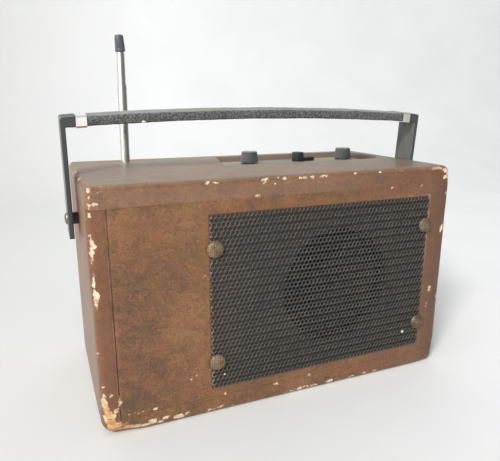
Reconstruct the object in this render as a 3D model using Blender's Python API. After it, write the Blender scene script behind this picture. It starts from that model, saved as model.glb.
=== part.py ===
"""Portable table radio in a painted wooden cabinet.

All lengths are in metres. +X runs to the right as one faces the speaker, +Y to the back
and +Z up. The origin is the middle of the cabinet's flat underside.
"""
import math

import bmesh
import bpy
from mathutils import Matrix, Vector

MM = 0.001
GAP = 0.3 * MM                       # clearance left between neighbouring solids

# Cabinet
CABINET_WIDTH = 333 * MM
CABINET_HEIGHT = 203 * MM
CABINET_DEPTH = 170 * MM
TOP_THICKNESS = 17 * MM
BOTTOM_THICKNESS = 16 * MM
SIDE_THICKNESS = 14.5 * MM
BAFFLE_THICKNESS = 9 * MM
BACK_THICKNESS = 5 * MM
BACK_INSET = 1 * MM
ARRIS_RADIUS = 5 * MM
CLEAT_SIZE = 15 * MM

# Back panel: vent slots and screws
VENT_ROWS = 7
VENT_PITCH = 11 * MM
VENT_LENGTH = 62 * MM
VENT_HEIGHT = 4 * MM
VENT_COLUMNS = (-76 * MM, 0.0, 76 * MM)
VENT_CENTRE_Z = 108 * MM
BACK_SCREW_X = 144 * MM
BACK_SCREW_Z = (34 * MM, 168 * MM)
BACK_SCREW_RADIUS = 1.75 * MM
BACK_SCREW_HEAD_RADIUS = 4.2 * MM
BACK_SCREW_LENGTH = 17 * MM

# Grille sheet with its four studs
GRILLE_LEFT = -75 * MM
GRILLE_RIGHT = 141.7 * MM
GRILLE_BOTTOM = 24.8 * MM
GRILLE_TOP = 175.5 * MM
GRILLE_THICKNESS = 1.2 * MM
STUD_PLACES = ((-70.4 * MM, 48.9 * MM), (-70.9 * MM, 147.8 * MM),
               (139.1 * MM, 49.5 * MM), (138.5 * MM, 148.3 * MM))
STUD_RADIUS = 7.2 * MM
STUD_HEIGHT = 4 * MM
STUD_SHANK_RADIUS = 1.5 * MM
STUD_SHANK_LENGTH = 9 * MM

# Loudspeaker
SPEAKER_X = 45 * MM
SPEAKER_Z = 100 * MM
SPEAKER_HOLE_RADIUS = 53 * MM
SPEAKER_RADIUS = 60 * MM
BASKET_DEPTH = 32 * MM
MAGNET_RADIUS = 35 * MM
MAGNET_DEPTH = 14 * MM
POLE_RADIUS = 11 * MM
FORMER_RADIUS = 12.5 * MM
CONE_THICKNESS = 0.8 * MM
BASKET_WINDOWS = 6

# Control recess in the top, with its left end cut at a slant
RECESS_REAR_Y = 67 * MM
RECESS_FRONT_Y = -4 * MM
RECESS_RIGHT_X = 149 * MM
RECESS_REAR_LEFT_X = -16.6 * MM
RECESS_FRONT_LEFT_X = -32.7 * MM
RECESS_ROUNDING = 18 * MM            # of its front right corner
RECESS_DEPTH = 5.6 * MM
PANEL_THICKNESS = 2 * MM
LEDGE_WIDTH = 5 * MM

# Knobs, lever and the controls under them
CONTROL_Y = 47 * MM
VOLUME_X = 13.9 * MM
BAND_X = 72.2 * MM
TUNING_X = 130.4 * MM
SHAFT_RADIUS = 3 * MM
BUSH_RADIUS = 4.2 * MM
BUSH_HEIGHT = 4.4 * MM               # from the underside of the panel
KNOB_LIFT = 1.4 * MM                 # from the panel's top face to the knob's skirt
KNOB_HEIGHT = 11.2 * MM
VOLUME_KNOB_RADII = (9.4 * MM, 8.3 * MM)
TUNING_KNOB_RADII = (9.4 * MM, 8.3 * MM)
LEVER_LIFT = 0.5 * MM
LEVER_HUB_RADIUS = 6.6 * MM
LEVER_HUB_HEIGHT = 9.3 * MM
LEVER_REACH = 19.6 * MM
LEVER_WIDTH = 5.5 * MM
LEVER_HEIGHT = 3.4 * MM

# Handle, in its own frame: the pivot line is local X and the arms run along local Z
PIVOT_Y = -4.7 * MM
PIVOT_Z = 164.5 * MM
HANDLE_LEAN = math.radians(4.4)      # forward lean of the handle as it stands
HANDLE_HALF_WIDTH = 175.3 * MM
ARM_THICKNESS = 4 * MM
ARM_WIDTH = 25.8 * MM
ARM_TAIL = 14.8 * MM                 # how far an arm runs below the pivot
ARM_ROUNDING = 0.8 * MM
CORNER_RADIUS = 2.4 * MM
ARCH_CREST = 86.9 * MM               # centre of the grip above the pivot, at mid width
ARCH_SAG = 4.2 * MM
ARCH_SPAN = 153 * MM
GRIP_HALF_LENGTH = 154.6 * MM
GRIP_THICKNESS = 8.6 * MM
GRIP_ROUNDING = 1.6 * MM
COLLAR_LENGTH = 8.4 * MM
COLLAR_PROUD = 0.7 * MM
STRAP_WIDTH = 19 * MM
STRAP_THICKNESS = 2.2 * MM
STRAP_HALF_LENGTH = 169 * MM
ARCH_STEPS = 12

# Handle pivots
PIVOT_SCREW_RADIUS = 3 * MM
PIVOT_HEAD_RADIUS = 5.2 * MM
PIVOT_HEAD_HEIGHT = 2.2 * MM
PIVOT_SCREW_END = 145 * MM
SPACER_RADIUS = 5.2 * MM
PIVOT_NUT_RADIUS = 5.8 * MM
PIVOT_NUT_HEIGHT = 5 * MM

# Telescopic antenna, in its own frame: local Z is its axis, 0 at the cabinet's top face
ANTENNA_X = -113 * MM
ANTENNA_Y = 66.4 * MM
ANTENNA_LEAN = math.radians(0.7)
ANTENNA_RADII = (4.25 * MM, 3.65 * MM, 3.05 * MM, 2.45 * MM)
ANTENNA_TOPS = (74.3 * MM, 104 * MM, 104.6 * MM, 105.2 * MM)
ANTENNA_LENGTHS = (170 * MM, 160 * MM, 157 * MM, 154 * MM)
ANTENNA_WALL = 0.3 * MM
ANTENNA_FOOT_RADIUS = 5.3 * MM
ANTENNA_FOOT_HEIGHT = 3 * MM
ANTENNA_ROD_RADIUS = 1.7 * MM
ANTENNA_ROD_LENGTH = 150 * MM
CAP_BOTTOM = 104.4 * MM
CAP_HEIGHT = 15 * MM
CAP_RADII = (4.8 * MM, 4 * MM)
ANTENNA_BUSH_RADIUS = 5.5 * MM

# Electronics
BOARD_LOW = Vector((-40 * MM, 4 * MM, 150 * MM))
BOARD_HIGH = Vector((132 * MM, 74 * MM, 151.6 * MM))
IF_CAN_SIZE = 10 * MM
IF_CAN_HEIGHT = 14 * MM
IF_CAN_X = (-8 * MM, 92 * MM)
IF_CAN_Y = 32 * MM
TRANSFORMER_SIZE = (26 * MM, 16 * MM, 20 * MM)
TRANSFORMER_X = 42 * MM
TRANSFORMER_Y = 40 * MM
ROD_RADIUS = 5 * MM
ROD_HALF_LENGTH = 75 * MM
ROD_X = 40 * MM
ROD_Y = 12 * MM
ROD_Z = 170 * MM
COIL_X = 82 * MM
COIL_RADIUS = 7.5 * MM
COIL_LENGTH = 30 * MM
BRACKET_WIDTH = 6 * MM
TUNING_BODY = (25 * MM, 26 * MM, 16 * MM)
SWITCH_BODY = (30 * MM, 20 * MM, 11 * MM)
POT_RADIUS = 12 * MM
POT_HEIGHT = 11 * MM

# Battery tray with two flat batteries
BATTERY_SIZE = (62 * MM, 22 * MM, 65 * MM)
TRAY_WALL = 2 * MM
TRAY_HEIGHT = 34 * MM
TRAY_X = -96 * MM
TRAY_Y = 8 * MM

# Steps around a full turn
COARSE = 16
FINE = 28

HALF_WIDTH = CABINET_WIDTH / 2
HALF_DEPTH = CABINET_DEPTH / 2
INNER_HALF = HALF_WIDTH - SIDE_THICKNESS
TOP_UNDERSIDE = CABINET_HEIGHT - TOP_THICKNESS
PANEL_TOP = CABINET_HEIGHT - RECESS_DEPTH
PANEL_BOTTOM = PANEL_TOP - PANEL_THICKNESS
BAFFLE_BACK = -HALF_DEPTH + BAFFLE_THICKNESS
BACK_FACE = HALF_DEPTH - BACK_INSET
BACK_INNER = BACK_FACE - BACK_THICKNESS
GRILLE_BACK = -HALF_DEPTH - GAP
GRILLE_FRONT = GRILLE_BACK - GRILLE_THICKNESS


def clear_scene():
    """Remove every object that is in the scene."""
    for item in list(bpy.data.objects):
        bpy.data.objects.remove(item, do_unlink=True)


def make_material(name, colour, roughness, metallic=0.0):
    """Return a Principled material."""
    material = bpy.data.materials.new(name)
    material.use_nodes = True
    shader = material.node_tree.nodes["Principled BSDF"]
    shader.inputs["Base Color"].default_value = (*colour, 1.0)
    shader.inputs["Roughness"].default_value = roughness
    shader.inputs["Metallic"].default_value = metallic
    material.diffuse_color = (*colour, 1.0)
    return material


def make_materials():
    """Return the object's materials by name."""
    return {
        "paint": make_material("brown_paint", (0.26, 0.13, 0.075), 0.6),
        "pine": make_material("bare_pine", (0.70, 0.52, 0.32), 0.7),
        "hardboard": make_material("hardboard", (0.20, 0.11, 0.06), 0.8),
        "grille": make_material("grille_metal", (0.05, 0.045, 0.04), 0.5, 0.6),
        "stud": make_material("aged_brass", (0.30, 0.20, 0.12), 0.5, 0.7),
        "steel": make_material("zinc_steel", (0.55, 0.56, 0.57), 0.35, 1.0),
        "chrome": make_material("chrome", (0.80, 0.81, 0.82), 0.12, 1.0),
        "brass": make_material("brass", (0.70, 0.52, 0.26), 0.3, 1.0),
        "paper": make_material("cone_paper", (0.04, 0.04, 0.04), 0.9),
        "ferrite": make_material("ferrite", (0.06, 0.06, 0.065), 0.55, 0.2),
        "black": make_material("black_plastic", (0.03, 0.033, 0.033), 0.45),
        "leatherette": make_material("leatherette", (0.05, 0.052, 0.048), 0.6),
        "panel": make_material("panel_paint", (0.26, 0.28, 0.24), 0.5, 0.3),
        "board": make_material("laminate", (0.42, 0.27, 0.11), 0.5),
        "copper": make_material("copper_wire", (0.60, 0.26, 0.12), 0.4, 0.9),
        "battery": make_material("battery_jacket", (0.12, 0.16, 0.34), 0.5),
    }


def add_object(name, mesh_data, material, parent=None, smooth=False):
    """Turn a bmesh into a named object and free the bmesh."""
    bmesh.ops.recalc_face_normals(mesh_data, faces=mesh_data.faces)
    mesh = bpy.data.meshes.new(name)
    mesh_data.to_mesh(mesh)
    mesh_data.free()
    if material is not None:
        mesh.materials.append(material)
    if smooth:
        mesh.shade_smooth()
        mesh.set_sharp_from_angle(angle=math.radians(35))
    item = bpy.data.objects.new(name, mesh)
    bpy.context.scene.collection.objects.link(item)
    item.parent = parent
    return item


def add_empty(name, location, rotation=(0.0, 0.0, 0.0)):
    """Add an empty that carries a group of parts."""
    empty = bpy.data.objects.new(name, None)
    empty.location = location
    empty.rotation_euler = rotation
    empty.empty_display_size = 0.02
    bpy.context.scene.collection.objects.link(empty)
    return empty


def add_box(mesh_data, low, high):
    """Add a cuboid between two corners to a bmesh."""
    low = Vector(low)
    high = Vector(high)
    size = high - low
    place = Matrix.Translation((low + high) / 2) @ Matrix.Diagonal((*size, 1.0))
    bmesh.ops.create_cube(mesh_data, size=1.0, matrix=place)
    return mesh_data


def box(low, high):
    """Return a bmesh with one cuboid."""
    return add_box(bmesh.new(), low, high)


def round_edges(mesh_data, wanted, radius, segments):
    """Round the edges whose two end points satisfy wanted(a, b)."""
    edges = [e for e in mesh_data.edges if wanted(e.verts[0].co, e.verts[1].co)]
    bmesh.ops.bevel(mesh_data, geom=edges, offset=radius, segments=segments,
                    profile=0.5, affect="EDGES", clamp_overlap=True)
    return mesh_data


def lathe(profile, steps, closed=False):
    """Turn (radius, height) points around Z; a closed profile makes a ring."""
    mesh_data = bmesh.new()
    points = [mesh_data.verts.new((radius, 0.0, height)) for radius, height in profile]
    edges = [mesh_data.edges.new(pair) for pair in zip(points, points[1:])]
    if closed:
        edges.append(mesh_data.edges.new((points[-1], points[0])))
    bmesh.ops.spin(mesh_data, geom=points + edges, cent=(0, 0, 0), axis=(0, 0, 1),
                   angle=math.tau, steps=steps, use_merge=True)
    bmesh.ops.remove_doubles(mesh_data, verts=mesh_data.verts, dist=1e-7)
    return mesh_data


def add_rod(mesh_data, radius, start, end, steps=COARSE):
    """Add a plain round rod between two points to a bmesh."""
    start = Vector(start)
    end = Vector(end)
    along = end - start
    turn = along.to_track_quat("Z", "Y").to_matrix().to_4x4()
    place = Matrix.Translation((start + end) / 2) @ turn
    bmesh.ops.create_cone(mesh_data, cap_ends=True, segments=steps, radius1=radius,
                          radius2=radius, depth=along.length, matrix=place)
    return mesh_data


def prism(outline, low, high):
    """Extrude an (x, y) outline from one height to another."""
    mesh_data = bmesh.new()
    face = mesh_data.faces.new([mesh_data.verts.new((x, y, low)) for x, y in outline])
    grown = bmesh.ops.extrude_face_region(mesh_data, geom=[face])
    moved = [item for item in grown["geom"] if isinstance(item, bmesh.types.BMVert)]
    bmesh.ops.translate(mesh_data, verts=moved, vec=(0, 0, high - low))
    return mesh_data


def arc(centre_x, centre_y, radius, start, end, steps):
    """Return points on an arc between two angles in degrees."""
    angles = [math.radians(start + (end - start) * i / steps) for i in range(steps + 1)]
    return [(centre_x + radius * math.cos(a), centre_y + radius * math.sin(a)) for a in angles]


def add_boolean(target, mesh_data, operation, label):
    """Cut or join a helper solid, which shares the target's parent and place."""
    helper = add_object(target.name + "_" + label, mesh_data, None, target.parent)
    helper.location = target.location
    helper.rotation_euler = target.rotation_euler
    helper.hide_render = True
    helper.display_type = "WIRE"
    modifier = target.modifiers.new(label, "BOOLEAN")
    modifier.operation = operation
    modifier.solver = "EXACT"
    modifier.object = helper


def cut(target, mesh_data, label="cutter"):
    """Subtract a bmesh from an object."""
    add_boolean(target, mesh_data, "DIFFERENCE", label)


def join(target, mesh_data, label="boss"):
    """Join a bmesh to an object."""
    add_boolean(target, mesh_data, "UNION", label)


def recess_outline(inset):
    """Return the control recess in plan, drawn in by an inset on every side."""
    slant = (RECESS_REAR_LEFT_X - RECESS_FRONT_LEFT_X) / (RECESS_REAR_Y - RECESS_FRONT_Y)
    left_inset = inset * math.hypot(1.0, slant)
    front = RECESS_FRONT_Y + inset
    rear = RECESS_REAR_Y - inset

    def left_at(y):
        return RECESS_FRONT_LEFT_X + slant * (y - RECESS_FRONT_Y) + left_inset

    right = RECESS_RIGHT_X - inset
    corner = arc(RECESS_RIGHT_X - RECESS_ROUNDING, RECESS_FRONT_Y + RECESS_ROUNDING,
                 RECESS_ROUNDING - inset, 270, 360, 5)
    return [(left_at(front), front), *corner, (right, rear), (left_at(rear), rear)]


def is_corner_post(a, b):
    """Tell whether an edge is one of a cuboid's upright corners."""
    return abs(a.z - b.z) > MM


def build_top_board(looks):
    """Top board: full width, rounded above, with the stepped control opening."""
    low = (-HALF_WIDTH, -HALF_DEPTH, TOP_UNDERSIDE)
    high = (HALF_WIDTH, HALF_DEPTH, CABINET_HEIGHT)
    board = box(low, high)
    rim = CABINET_HEIGHT - MM

    def wanted(a, b):
        return is_corner_post(a, b) or (a.z > rim and b.z > rim)

    round_edges(board, wanted, ARRIS_RADIUS, 4)
    top = add_object("top_board", board, looks["paint"])
    seat = PANEL_BOTTOM - GAP
    cut(top, prism(recess_outline(0.0), seat, CABINET_HEIGHT + 2 * MM), "recess")
    below = TOP_UNDERSIDE - 2 * MM
    cut(top, prism(recess_outline(LEDGE_WIDTH), below, seat + MM), "well")
    hole_low = (ANTENNA_X, ANTENNA_Y, below)
    hole_high = (ANTENNA_X, ANTENNA_Y, CABINET_HEIGHT + 2 * MM)
    cut(top, add_rod(bmesh.new(), ANTENNA_BUSH_RADIUS + 2 * GAP, hole_low, hole_high), "hole")


def build_bottom_board(looks):
    """Bottom board: full width, rounded below."""
    low = (-HALF_WIDTH, -HALF_DEPTH, 0.0)
    high = (HALF_WIDTH, HALF_DEPTH, BOTTOM_THICKNESS)
    board = box(low, high)

    def wanted(a, b):
        return is_corner_post(a, b) or (a.z < MM and b.z < MM)

    add_object("bottom_board", round_edges(board, wanted, ARRIS_RADIUS, 4), looks["paint"])


def build_side_board(name, side, looks):
    """Side board between top and bottom, with the hole for the handle's pivot."""
    inner = side * INNER_HALF
    outer = side * HALF_WIDTH
    board = box((min(inner, outer), -HALF_DEPTH, BOTTOM_THICKNESS + GAP),
                (max(inner, outer), HALF_DEPTH, TOP_UNDERSIDE - GAP))

    def wanted(a, b):
        outside = abs(a.x) > HALF_WIDTH - MM
        return is_corner_post(a, b) and outside

    panel = add_object(name, round_edges(board, wanted, ARRIS_RADIUS, 4), looks["paint"])
    hole = add_rod(bmesh.new(), PIVOT_SCREW_RADIUS + GAP,
                   (side * (INNER_HALF - 2 * MM), PIVOT_Y, PIVOT_Z),
                   (side * (HALF_WIDTH + 2 * MM), PIVOT_Y, PIVOT_Z))
    cut(panel, hole, "pivot_hole")


def build_front_baffle(looks):
    """Inset front panel that carries the speaker and the grille studs."""
    low = (-INNER_HALF + GAP, -HALF_DEPTH, BOTTOM_THICKNESS + GAP)
    high = (INNER_HALF - GAP, BAFFLE_BACK, TOP_UNDERSIDE - GAP)
    baffle = add_object("front_baffle", box(low, high), looks["paint"])
    ahead = -HALF_DEPTH - 2 * MM
    behind = BAFFLE_BACK + 2 * MM
    cut(baffle, add_rod(bmesh.new(), SPEAKER_HOLE_RADIUS, (SPEAKER_X, ahead, SPEAKER_Z),
                        (SPEAKER_X, behind, SPEAKER_Z), 2 * FINE), "speaker_hole")
    cut(baffle, stud_holes(ahead, behind), "stud_holes")


def stud_holes(ahead, behind):
    """Return the four round holes that the grille studs go through."""
    holes = bmesh.new()
    for x, z in STUD_PLACES:
        add_rod(holes, STUD_SHANK_RADIUS + GAP, (x, ahead, z), (x, behind, z))
    return holes


def build_back_panel(looks):
    """Screwed-on back with three columns of vent slots."""
    low = (-INNER_HALF + GAP, BACK_INNER, BOTTOM_THICKNESS + GAP)
    high = (INNER_HALF - GAP, BACK_FACE, TOP_UNDERSIDE - GAP)
    panel = add_object("back_panel", box(low, high), looks["hardboard"])
    slots = bmesh.new()
    for column in VENT_COLUMNS:
        for row in range(VENT_ROWS):
            z = VENT_CENTRE_Z + (row - (VENT_ROWS - 1) / 2) * VENT_PITCH
            add_box(slots, (column - VENT_LENGTH / 2, BACK_INNER - MM, z - VENT_HEIGHT / 2),
                    (column + VENT_LENGTH / 2, BACK_FACE + MM, z + VENT_HEIGHT / 2))
    cut(panel, slots, "vents")
    holes = bmesh.new()
    for x in (-BACK_SCREW_X, BACK_SCREW_X):
        for z in BACK_SCREW_Z:
            add_rod(holes, BACK_SCREW_RADIUS + GAP, (x, BACK_INNER - MM, z), (x, BACK_FACE + MM, z))
    cut(panel, holes, "screw_holes")


def build_rear_cleat(name, side, looks):
    """Upright batten inside a rear corner that the back is screwed to."""
    near = side * (INNER_HALF - GAP - CLEAT_SIZE)
    far = side * (INNER_HALF - GAP)
    front = BACK_INNER - GAP - CLEAT_SIZE
    rear = BACK_INNER - GAP
    cleat = add_object(name, box((min(near, far), front, BOTTOM_THICKNESS + GAP),
                                 (max(near, far), rear, TOP_UNDERSIDE - GAP)), looks["pine"])
    holes = bmesh.new()
    for z in BACK_SCREW_Z:
        add_rod(holes, BACK_SCREW_RADIUS + GAP, (side * BACK_SCREW_X, front - MM, z),
                (side * BACK_SCREW_X, rear + MM, z))
    cut(cleat, holes, "screw_holes")


def round_head(radius, height, shank_radius, shank_length, steps=4):
    """Return the profile of a domed head at height 0 and up, with its shank below."""
    dome = [(radius * math.cos(a), height * math.sin(a))
            for a in [math.pi / 2 * i / steps for i in range(steps + 1)]]
    dome[-1] = (0.0, height)
    return [(0.0, -shank_length), (shank_radius, -shank_length), (shank_radius, 0.0)] + dome


def build_back_screws(looks):
    """Four round-headed screws in the back panel."""
    number = 0
    for x in (-BACK_SCREW_X, BACK_SCREW_X):
        for z in BACK_SCREW_Z:
            number += 1
            profile = round_head(BACK_SCREW_HEAD_RADIUS, 2 * MM, BACK_SCREW_RADIUS,
                                 BACK_SCREW_LENGTH)
            screw = add_object(f"back_screw_{number}", lathe(profile, COARSE),
                               looks["steel"], smooth=True)
            screw.rotation_euler = (math.radians(-90), 0, 0)
            screw.location = (x, BACK_FACE + GAP, z)


def build_grille(looks):
    """Flat grille sheet over the baffle, with its four domed studs."""
    low = (GRILLE_LEFT, GRILLE_FRONT, GRILLE_BOTTOM)
    high = (GRILLE_RIGHT, GRILLE_BACK, GRILLE_TOP)
    sheet = add_object("speaker_grille", box(low, high), looks["grille"])
    cut(sheet, stud_holes(GRILLE_FRONT - MM, GRILLE_BACK + 0.2 * MM), "stud_holes")
    for number, (x, z) in enumerate(STUD_PLACES, start=1):
        profile = round_head(STUD_RADIUS, STUD_HEIGHT, STUD_SHANK_RADIUS, STUD_SHANK_LENGTH)
        stud = add_object(f"grille_stud_{number}", lathe(profile, 24), looks["stud"],
                          smooth=True)
        stud.rotation_euler = (math.radians(90), 0, 0)
        stud.location = (x, GRILLE_FRONT - GAP, z)


def dome_shell(radius, base, rise, thickness, steps=5):
    """Return the profile of a thin dome that bulges towards lower heights."""
    angles = [math.pi / 2 * i / steps for i in range(steps)]

    def side(r, height):
        return [(r * math.cos(a), base - height * math.sin(a)) for a in angles] + [(0.0, base - height)]

    return side(radius, rise)[::-1] + side(radius - thickness, rise - thickness)


def build_speaker(looks):
    """Loudspeaker behind the baffle; its parts are turned around the speaker's axis."""
    axis = add_empty("speaker_axis", (SPEAKER_X, BAFFLE_BACK + GAP, SPEAKER_Z),
                     (math.radians(-90), 0, 0))
    rim = SPEAKER_HOLE_RADIUS - MM
    rear = BASKET_DEPTH
    seat = MAGNET_RADIUS - MM
    throat = FORMER_RADIUS + 1.5 * MM
    basket_profile = [
        (rim, 0.0), (SPEAKER_RADIUS, 0.0), (SPEAKER_RADIUS, 2 * MM), (rim + 2.5 * MM, 4 * MM),
        (seat, rear - 2 * MM), (seat, rear), (throat, rear), (throat, rear - 2 * MM),
        (seat - 3 * MM, rear - 3 * MM), (rim, 4 * MM)]
    basket = add_object("speaker_basket", lathe(basket_profile, FINE, closed=True),
                        looks["steel"], axis, smooth=True)
    windows = bmesh.new()
    for index in range(BASKET_WINDOWS):
        turn = Matrix.Rotation(math.tau * (index + 0.5) / BASKET_WINDOWS, 4, "Z")
        size = Matrix.Diagonal((40 * MM, 24 * MM, 14 * MM, 1.0))
        place = turn @ Matrix.Translation((48 * MM, 0, 16 * MM)) @ size
        bmesh.ops.create_cube(windows, size=1.0, matrix=place)
    cut(basket, windows, "windows")

    edge = rim - GAP
    apex = 23 * MM
    former = FORMER_RADIUS
    surround = [(edge - 3.5 * MM + 3.5 * MM * math.cos(a), 1 * MM - 2.2 * MM * math.sin(a) + 2 * MM)
                for a in [math.pi * i / 4 for i in range(5)]]
    front_side = surround + [(former + CONE_THICKNESS, apex - CONE_THICKNESS), (former, apex - MM)]
    back_side = [(former, rear - MM), (former + CONE_THICKNESS, rear - MM),
                 (former + CONE_THICKNESS, apex + MM), (surround[-1][0], 3 * MM + 2 * CONE_THICKNESS),
                 (edge, 3 * MM + CONE_THICKNESS)]
    add_object("speaker_cone", lathe(front_side + back_side, FINE, closed=True),
               looks["paper"], axis, smooth=True)

    cap = dome_shell(former + 2 * MM, apex - 3 * MM, 5 * MM, CONE_THICKNESS)
    add_object("speaker_dust_cap", lathe(cap, FINE), looks["paper"], axis, smooth=True)

    magnet_front = rear + GAP
    magnet_profile = [(0.0, rear - 6 * MM), (POLE_RADIUS, rear - 6 * MM), (POLE_RADIUS, magnet_front),
                      (MAGNET_RADIUS, magnet_front), (MAGNET_RADIUS, magnet_front + MAGNET_DEPTH),
                      (0.0, magnet_front + MAGNET_DEPTH)]
    add_object("speaker_magnet", lathe(magnet_profile, FINE), looks["ferrite"], axis, smooth=True)


def build_control_panel(looks):
    """Sunken plate that the knobs and the lever stand on."""
    plate = add_object("control_panel", prism(recess_outline(GAP), PANEL_BOTTOM, PANEL_TOP),
                       looks["panel"])
    holes = bmesh.new()
    for x in (VOLUME_X, BAND_X, TUNING_X):
        add_rod(holes, BUSH_RADIUS + GAP, (x, CONTROL_Y, PANEL_BOTTOM - MM),
                (x, CONTROL_Y, PANEL_TOP + MM))
    cut(plate, holes, "shaft_holes")


def knob_profile(radii, height, bore_depth):
    """Return a tapered knob's profile: solid above, with a shaft bore and a hollow skirt."""
    base, crown = radii
    bore = SHAFT_RADIUS + GAP
    hollow = base - 2 * MM
    return [(0.0, bore_depth), (bore, bore_depth), (bore, 3 * MM), (hollow, 3 * MM),
            (hollow, 0.0), (base, 0.0), (base, 1 * MM), (crown, height - 0.8 * MM),
            (crown - 0.8 * MM, height), (0.0, height)]


def build_turned_control(name, x, radii, looks):
    """Knob and shaft that turn together; both have their origin on the turning axis."""
    skirt = PANEL_TOP + KNOB_LIFT
    knob = add_object(name + "_knob", lathe(knob_profile(radii, KNOB_HEIGHT, 8.5 * MM), FINE),
                      looks["black"], smooth=True)
    knob.location = (x, CONTROL_Y, skirt)
    shaft_low = PANEL_BOTTOM - 8 * MM
    shaft_high = skirt + 8.5 * MM - GAP
    shaft = add_object(name + "_shaft", add_rod(bmesh.new(), SHAFT_RADIUS, (0, 0, shaft_low),
                                                (0, 0, shaft_high)), looks["steel"], smooth=True)
    shaft.location = (x, CONTROL_Y, 0.0)


def build_band_lever(looks):
    """Round hub with a flat finger lever, on its own shaft."""
    base = PANEL_TOP + LEVER_LIFT
    hub_profile = [(0.0, 7.5 * MM), (SHAFT_RADIUS + GAP, 7.5 * MM), (SHAFT_RADIUS + GAP, 0.0),
                   (LEVER_HUB_RADIUS, 0.0), (LEVER_HUB_RADIUS, LEVER_HUB_HEIGHT - 0.6 * MM),
                   (LEVER_HUB_RADIUS - 0.6 * MM, LEVER_HUB_HEIGHT), (0.0, LEVER_HUB_HEIGHT)]
    lever = add_object("band_lever", lathe(hub_profile, FINE), looks["black"], smooth=True)
    lever.location = (BAND_X, CONTROL_Y, base)
    finger = box((LEVER_HUB_RADIUS - 1.5 * MM, -LEVER_WIDTH / 2, 0.0),
                 (LEVER_REACH, LEVER_WIDTH / 2, LEVER_HEIGHT))
    join(lever, finger, "finger")
    low = PANEL_BOTTOM - 8 * MM
    high = base + 7.5 * MM - GAP
    shaft = add_object("band_shaft", add_rod(bmesh.new(), SHAFT_RADIUS, (0, 0, low), (0, 0, high)),
                       looks["steel"], smooth=True)
    shaft.location = (BAND_X, CONTROL_Y, 0.0)


def bush_profile(height):
    """Return the threaded bush of a control: a tube that is open above and closed below."""
    bore = SHAFT_RADIUS + GAP
    return [(0.0, -9 * MM), (BUSH_RADIUS, -9 * MM), (BUSH_RADIUS, height), (bore, height),
            (bore, -8.3 * MM), (0.0, -8.3 * MM)]


def build_boxed_control(name, x, size, bush_height, looks):
    """Square control body under the panel, with its bush up through the plate."""
    top = -GAP
    width, depth, height = size
    body = add_object(name, box((-width / 2, -depth / 2, top - height), (width / 2, depth / 2, top)),
                      looks["steel"])
    body.location = (x, CONTROL_Y, PANEL_BOTTOM)
    well = add_rod(bmesh.new(), SHAFT_RADIUS + GAP, (0, 0, -8.6 * MM), (0, 0, 2 * MM))
    cut(body, well, "well")
    join(body, lathe(bush_profile(bush_height), COARSE), "bush")


def build_volume_control(looks):
    """Round potentiometer under the panel."""
    bore = SHAFT_RADIUS + GAP
    profile = [(0.0, -POT_HEIGHT), (POT_RADIUS, -POT_HEIGHT), (POT_RADIUS, -GAP), (BUSH_RADIUS, -GAP),
               (BUSH_RADIUS, BUSH_HEIGHT), (bore, BUSH_HEIGHT), (bore, -8.3 * MM), (0.0, -8.3 * MM)]
    pot = add_object("volume_control", lathe(profile, FINE), looks["steel"], smooth=True)
    pot.location = (VOLUME_X, CONTROL_Y, PANEL_BOTTOM)


def build_electronics(looks):
    """Circuit board with the larger parts that stand on it."""
    add_object("circuit_board", box(BOARD_LOW, BOARD_HIGH), looks["board"])
    stand = BOARD_HIGH.z + GAP
    for number, x in enumerate(IF_CAN_X, start=1):
        half = IF_CAN_SIZE / 2
        can = box((x - half, IF_CAN_Y - half, stand), (x + half, IF_CAN_Y + half, stand + IF_CAN_HEIGHT))
        round_edges(can, is_corner_post, 1 * MM, 2)
        add_object(f"if_can_{number}", can, looks["steel"])
    width, depth, height = TRANSFORMER_SIZE
    core = add_object("output_transformer",
                      box((TRANSFORMER_X - width / 2, TRANSFORMER_Y - depth / 2, stand),
                          (TRANSFORMER_X + width / 2, TRANSFORMER_Y + depth / 2, stand + height)),
                      looks["ferrite"])
    middle = stand + height / 2
    winding = box((TRANSFORMER_X - 7 * MM, TRANSFORMER_Y - depth / 2 - 4 * MM, middle - 6 * MM),
                  (TRANSFORMER_X + 7 * MM, TRANSFORMER_Y + depth / 2 + 4 * MM, middle + 6 * MM))
    join(core, winding, "winding")

    rod = add_rod(bmesh.new(), ROD_RADIUS, (ROD_X - ROD_HALF_LENGTH, ROD_Y, ROD_Z),
                  (ROD_X + ROD_HALF_LENGTH, ROD_Y, ROD_Z), 20)
    add_object("ferrite_rod", rod, looks["ferrite"], smooth=True)
    coil_profile = [(ROD_RADIUS + GAP, -COIL_LENGTH / 2), (COIL_RADIUS, -COIL_LENGTH / 2),
                    (COIL_RADIUS, COIL_LENGTH / 2), (ROD_RADIUS + GAP, COIL_LENGTH / 2)]
    coil = add_object("ferrite_coil", lathe(coil_profile, 20, closed=True), looks["copper"], smooth=True)
    coil.rotation_euler = (0, math.radians(90), 0)
    coil.location = (COIL_X, ROD_Y, ROD_Z)
    half = BRACKET_WIDTH / 2
    bracket = add_object("ferrite_bracket",
                         box((ROD_X - half, ROD_Y - 8 * MM, stand),
                             (ROD_X + half, ROD_Y + 8 * MM, ROD_Z + 8 * MM)), looks["black"])
    cut(bracket, add_rod(bmesh.new(), ROD_RADIUS + GAP, (ROD_X - 10 * MM, ROD_Y, ROD_Z),
                         (ROD_X + 10 * MM, ROD_Y, ROD_Z), 20), "rod_hole")


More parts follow.
